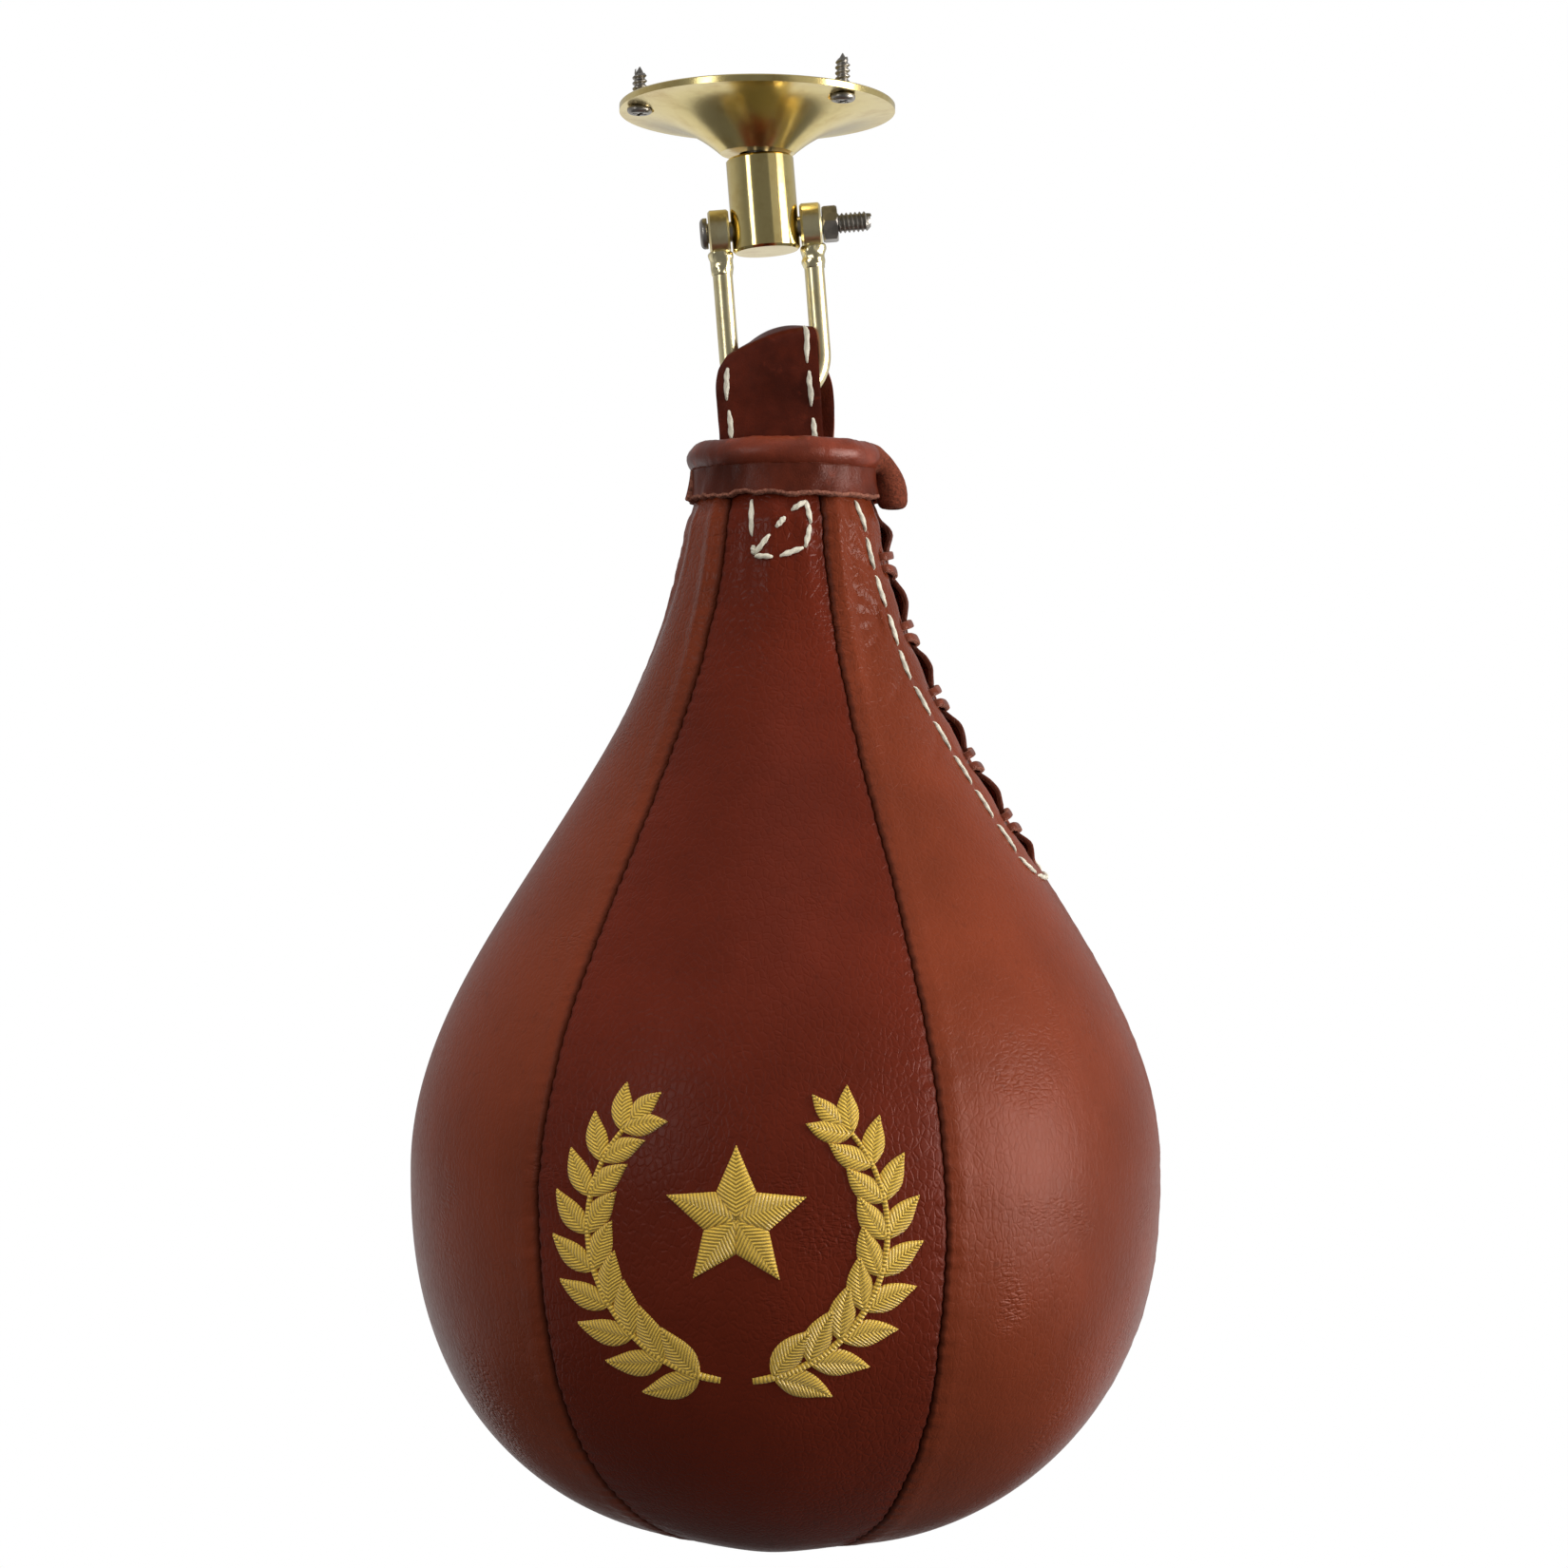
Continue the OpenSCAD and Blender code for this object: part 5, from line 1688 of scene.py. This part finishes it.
def recess(bm, cuts, inside, floor):
    """Sinks the part of a head that a test picks, after cutting along planes."""
    for normal, distance in cuts:
        normal = Vector(normal)
        for side in (-1, 1):
            bmesh.ops.bisect_plane(
                bm, geom=bm.verts[:] + bm.edges[:] + bm.faces[:],
                plane_co=normal * distance * side, plane_no=normal,
            )
    picked = [face for face in bm.faces if inside(face.calc_center_median())]
    sunk = bmesh.ops.extrude_face_region(bm, geom=picked)["geom"]
    for v in sunk:
        if isinstance(v, bmesh.types.BMVert):
            v.co.z = floor
    bmesh.ops.delete(bm, geom=picked, context="FACES")


def wind_thread(bm, core, crest, pitch, low, high):
    """A helical ridge that runs out at both ends."""
    turns = (high - low) / pitch
    steps = 28
    root = core - 0.08 * MM
    section = ((root, -0.46 * pitch), (crest, -0.07 * pitch), (crest, 0.07 * pitch), (root, 0.46 * pitch))
    ring = [bm.verts.new((r, 0, low + z)) for r, z in section]
    edges = [bm.edges.new(pair) for pair in zip(ring, ring[1:] + ring[:1])]
    count = int(turns * steps)
    spun = bmesh.ops.spin(
        bm, geom=ring + edges, cent=(0, 0, 0), axis=(0, 0, 1), dvec=(0, 0, pitch / steps),
        angle=math.tau * count / steps, steps=count, use_duplicate=False,
    )["geom_last"]
    ends = [e for e in spun if isinstance(e, bmesh.types.BMEdge)]
    ridge = {v for edge in edges + ends for v in edge.verts}
    grown = set(ridge)
    while grown:
        grown = {e.other_vert(v) for v in grown for e in v.link_edges} - ridge
        ridge |= grown
    for loop in (edges, ends):
        bmesh.ops.edgeloop_fill(bm, edges=loop)
    for v in ridge:
        out = v.co.to_2d()
        fade = min(ease((v.co.z - low) / pitch), ease((high - v.co.z) / pitch))
        v.co.x, v.co.y = out * (1 - (1 - fade) * max(0.0, out.length - core + 0.05 * MM) / out.length)


class SPEEDBAG_OT_fasteners(Operator):
    """Cut the threads of the pivot bolt and the flange's screws"""

    bl_idname = "speedbag.fasteners"
    bl_label = "Fasteners"

    # Bolt, from the middle of the barrel: seat of its head, end of its plain shank, tail
    BOLT_SEAT = -13.8 * MM
    BOLT_PLAIN = 12.5 * MM
    BOLT_TAIL = 25.3 * MM
    # Its thread's radii and pitch, its head's radius and height, half the width of its slot, and how
    # far the slot's floor is from the seat
    BOLT_CORE = 1.92 * MM
    BOLT_CREST = 2.4 * MM
    BOLT_PITCH = 1.06 * MM
    BOLT_HEAD = (3.7 * MM, 1.8 * MM)
    SLOT_HALF = 0.6 * MM
    SLOT_FLOOR = 0.9 * MM
    # Screws: direction of the first, height of the solids' heads, radius and height of these heads,
    # core as a share of the thread, pitch
    SCREW_START = math.radians(74.3)
    SCREW_SEAT = 2.1 * MM
    SCREW_HEAD = (3.0 * MM, 1.5 * MM)
    SCREW_CORE = 0.72
    SCREW_PITCH = 1.3 * MM
    # Cross recess: half width and length of an arm, and how far its floor is from the seat
    CROSS_HALF = 0.42 * MM
    CROSS_ARM = 1.75 * MM
    CROSS_FLOOR = 0.6 * MM
    # How the screws' recesses happen to stand: the first, and what each next one adds, in radians
    RECESS_TURN = 0.4
    RECESS_STEP = 1.3

    def bolt(self):
        """The pivot bolt along Z, with its slotted head at the bottom."""
        bm = bmesh.new()
        head, tail, plain = self.BOLT_SEAT, self.BOLT_TAIL, self.BOLT_PLAIN
        core, crest, half = self.BOLT_CORE, self.BOLT_CREST, self.SLOT_HALF
        profile = pan_profile(*self.BOLT_HEAD, head)
        profile += [
            (crest, head), (crest, plain), (core, plain + 0.5 * MM), (core, tail - 0.6 * MM),
            (core - 0.5 * MM, tail), (0, tail),
        ]
        turned(bm, profile, 48)
        recess(
            bm, [((0, 1, 0), half)],
            lambda c: abs(c.y) < half and c.z < head - 0.2 * MM, head - self.SLOT_FLOOR,
        )
        wind_thread(bm, core, crest, self.BOLT_PITCH, plain + 0.2 * MM, tail - 0.2 * MM)
        spot = bail_frame() @ Matrix.Rotation(math.pi / 2, 4, "Y")
        bmesh.ops.transform(bm, matrix=spot, verts=bm.verts[:])
        return ready(bm)

    def screws(self):
        """The flange's screws, point up, with cross recesses in their heads."""
        bm = bmesh.new()
        mount = frame["record"]["mounts"][0]["dims"]
        low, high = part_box("flange_screws")
        circle, count = mount["pcd_mm"] / 2 * MM, mount["count"]
        crest = mount["stud_r_mm"] * MM
        core, tip = crest * self.SCREW_CORE, high.z
        seat = low.z + self.SCREW_SEAT
        half, arm = self.CROSS_HALF, self.CROSS_ARM
        profile = pan_profile(*self.SCREW_HEAD, seat)
        profile += [
            (core, seat), (core, tip - 2.4 * MM), (core * 0.55, tip - 1.0 * MM), (0.12 * MM, tip), (0, tip),
        ]

        def in_cross(centre):
            near, far = sorted((abs(centre.x), abs(centre.y)))
            return centre.z < seat - 0.7 * MM and far < arm and near < half

        for i in range(count):
            one = bmesh.new()
            turned(one, profile, 40)
            cuts = [((1, 0, 0), half), ((0, 1, 0), half), ((1, 0, 0), arm), ((0, 1, 0), arm)]
            recess(one, cuts, in_cross, seat - self.CROSS_FLOOR)
            wind_thread(one, core, crest, self.SCREW_PITCH, 0.1 * MM, tip - 1.2 * MM)
            turn = self.SCREW_START + math.tau * i / count
            spot = Matrix.Rotation(turn, 4, "Z") @ Matrix.Translation((circle, 0, 0))
            spot = spot @ Matrix.Rotation(self.RECESS_TURN + self.RECESS_STEP * i, 4, "Z")
            bmesh.ops.transform(one, matrix=spot, verts=one.verts[:])
            join(bm, one)
        return ready(bm)

    def execute(self, context):
        for bm, name, body, node in (
            (self.bolt(), "threaded_bolt", "barrel", "pivot_bolt"),
            (self.screws(), "threaded_screws", "flange", "flange_screws"),
        ):
            piece = make_piece(context, bm, name, body, ["plated_steel"], [node])
            piece.data.set_sharp_from_angle(angle=math.radians(35))
        return {"FINISHED"}


class SPEEDBAG_OT_stage(Operator):
    """Set up the camera, the lamps, the floor and the white background"""

    bl_idname = "speedbag.stage"
    bl_label = "Stage"

    # Area lamps: name, place, width and height in metres, watts, whether reflections show it
    LAMPS = (
        ("key", (1.22, -0.20, -0.10), 0.42, 0.75, 13.0, False),
        ("fill", (-0.88, -0.98, 0.22), 0.26, 0.75, 2.6, True),
        ("top", (0.15, -0.50, 1.05), 0.80, 0.80, 6.4, False),
    )
    # Strips that only reflections see: name, place, width, height, turn about Z in degrees, glow
    CARDS = (
        ("strip_key", (1.16, -0.38, -0.10), 0.58, 0.80, 72, 11.5),
        ("strip_side", (0.95, -1.10, 0.05), 0.70, 1.1, 41, 0.42),
    )

    def world(self, scene, stage):
        """White to the camera; to reflections dark in front and bright behind; soft light from above."""
        scene.world = bpy.data.worlds.new("studio")
        nodes = Nodes(scene.world)
        heading = nodes.add("ShaderNodeTexCoord", out="Generated")
        parts = {
            axis: nodes.add("ShaderNodeSeparateXYZ", sockets={"Vector": heading}, out=axis)
            for axis in ("Y", "Z")
        }
        rays = {
            kind: nodes.add("ShaderNodeLightPath", out=f"Is {kind} Ray")
            for kind in ("Camera", "Glossy", "Transmission")
        }
        mirrored = rays["Glossy"].math("MAXIMUM", rays["Glossy"], rays["Transmission"])
        behind = parts["Y"].between(-0.75, 0.70) * (1 - 0.5 * parts["Z"].between(-0.20, -0.02))
        above = parts["Z"].between(-0.70, 0.60)
        reflected = stage.front_glow + behind * (stage.back_glow - stage.front_glow)
        lighting = stage.ambient * (0.08 + above * 1.28)
        strength = lighting + mirrored * (reflected - lighting)
        strength = strength + rays["Camera"] * (1 - strength)
        back = nodes.add("ShaderNodeBackground", sockets={"Color": (1, 1, 1, 1), "Strength": strength})
        nodes.add("ShaderNodeOutputWorld", sockets={"Surface": back})

    def lamp(self, scene, name, place, width, height, watts, mirrored):
        light = bpy.data.lights.new(name, "AREA")
        light.shape = "RECTANGLE"
        light.size, light.size_y, light.energy = width, height, watts
        lamp = bpy.data.objects.new(name, light)
        scene.collection.objects.link(lamp)
        lamp.visible_glossy = mirrored
        target = Vector((0, 0, (BAG_LOW[2] + BAG_HIGH[2]) / 2))
        lamp.location = place
        lamp.rotation_euler = (Vector(place) - target).to_track_quat("Z", "Y").to_euler()

    def card(self, scene, name, place, width, height, turn, glow):
        bm = bmesh.new()
        bmesh.ops.create_grid(bm, x_segments=1, y_segments=1, size=0.5)
        matrix = Matrix.Translation(place) @ Matrix.Rotation(math.radians(turn), 4, "Z")
        matrix = matrix @ Matrix.Rotation(math.pi / 2, 4, "X") @ Matrix.Diagonal((width, height, 1, 1))
        bmesh.ops.transform(bm, matrix=matrix, verts=bm.verts[:])
        light = Finish("looks_" + name, Emission_Color=(1, 0.97, 0.92, 1), Emission_Strength=glow)
        card = to_object(scene, bm, name, [light.surface((0, 0, 0, 1), 1.0)])
        card.visible_camera = card.visible_diffuse = False
        card.visible_shadow = card.visible_transmission = False

    def floor(self, scene, level):
        bm = bmesh.new()
        bmesh.ops.create_circle(
            bm, cap_ends=True, segments=96, radius=1.3, matrix=Matrix.Translation((0, 0, level))
        )
        f = Finish("looks_floor", Specular_IOR_Level=0.0, Roughness=1.0)
        place = f.place((1, 1, 0))
        reach = f.add("ShaderNodeVectorMath", {"operation": "LENGTH"}, {0: place}, out="Value")
        seen = f.add("ShaderNodeLightPath", out="Is Camera Ray")
        f.surface(f.mix((0.16, 0.158, 0.155), (0.14, 0.138, 0.135), f.cloud(place, 5)), 1.0)
        glow = f.add("ShaderNodeEmission", sockets={"Color": (1, 1, 1, 1), "Strength": 1.0})
        output = next(n for n in f.tree.nodes if n.type == "OUTPUT_MATERIAL")
        share = seen * (0.88 + 0.12 * reach.between(0.35, 1.2))
        matt = Value(f, f.shader.outputs["BSDF"])
        blend = f.add("ShaderNodeMixShader", sockets={0: share, 1: matt, 2: glow})
        f.tree.links.new(blend.socket, output.inputs["Surface"])
        floor = to_object(scene, bm, "floor", [f.material])

    def execute(self, context):
        scene, stage = context.scene, context.scene.speed_bag.stage
        scene.view_settings.view_transform = "Standard"
        camera = bpy.data.objects.new("camera", bpy.data.cameras.new("camera"))
        scene.collection.objects.link(camera)
        camera.data.sensor_width = 36
        camera.data.lens = stage.lens
        camera.data.clip_start = 0.01
        camera.location = (stage.camera_x, -stage.distance, stage.camera_z)
        camera.rotation_euler = (math.pi / 2, 0, 0)
        scene.camera = camera
        self.world(scene, stage)
        for lamp in self.LAMPS:
            self.lamp(scene, *lamp)
        for card in self.CARDS:
            self.card(scene, *card)
        self.floor(scene, stage.floor_z)
        return {"FINISHED"}


STEPS = (
    SPEEDBAG_OT_stage,
    SPEEDBAG_OT_swivel,
    SPEEDBAG_OT_fasteners,
    SPEEDBAG_OT_panels,
    SPEEDBAG_OT_bladder,
    SPEEDBAG_OT_lacing,
    SPEEDBAG_OT_collar,
    SPEEDBAG_OT_loop,
    SPEEDBAG_OT_stitches,
    SPEEDBAG_OT_embroidery,
)


class SPEEDBAG_PT_sidebar(Panel):
    """Lists the pieces of the speed bag"""

    bl_idname = "SPEEDBAG_PT_sidebar"
    bl_label = "Speed Bag"
    bl_space_type = "VIEW_3D"
    bl_region_type = "UI"
    bl_category = "Speed Bag"

    def draw(self, context):
        for step in STEPS:
            self.layout.operator(step.bl_idname)


CLASSES = (
    SPEEDBAG_PG_bag,
    SPEEDBAG_PG_lacing,
    SPEEDBAG_PG_neck,
    SPEEDBAG_PG_thread,
    SPEEDBAG_PG_colours,
    SPEEDBAG_PG_stage,
    SPEEDBAG_PG_settings,
    *STEPS,
    SPEEDBAG_PT_sidebar,
)


def register():
    for one in CLASSES:
        bpy.utils.register_class(one)
    bpy.types.Scene.speed_bag = PointerProperty(type=SPEEDBAG_PG_settings)


def unregister():
    del bpy.types.Scene.speed_bag
    for one in reversed(CLASSES):
        bpy.utils.unregister_class(one)


def main():
    """Makes every piece in order."""
    register()
    bpy.ops.speedbag.stage()
    bpy.ops.speedbag.swivel()
    bpy.ops.speedbag.fasteners()
    bpy.ops.speedbag.panels()
    bpy.ops.speedbag.bladder()
    bpy.ops.speedbag.lacing()
    bpy.ops.speedbag.collar()
    bpy.ops.speedbag.loop()
    bpy.ops.speedbag.stitches()
    bpy.ops.speedbag.embroidery()


if __name__ == "__main__":
    main()
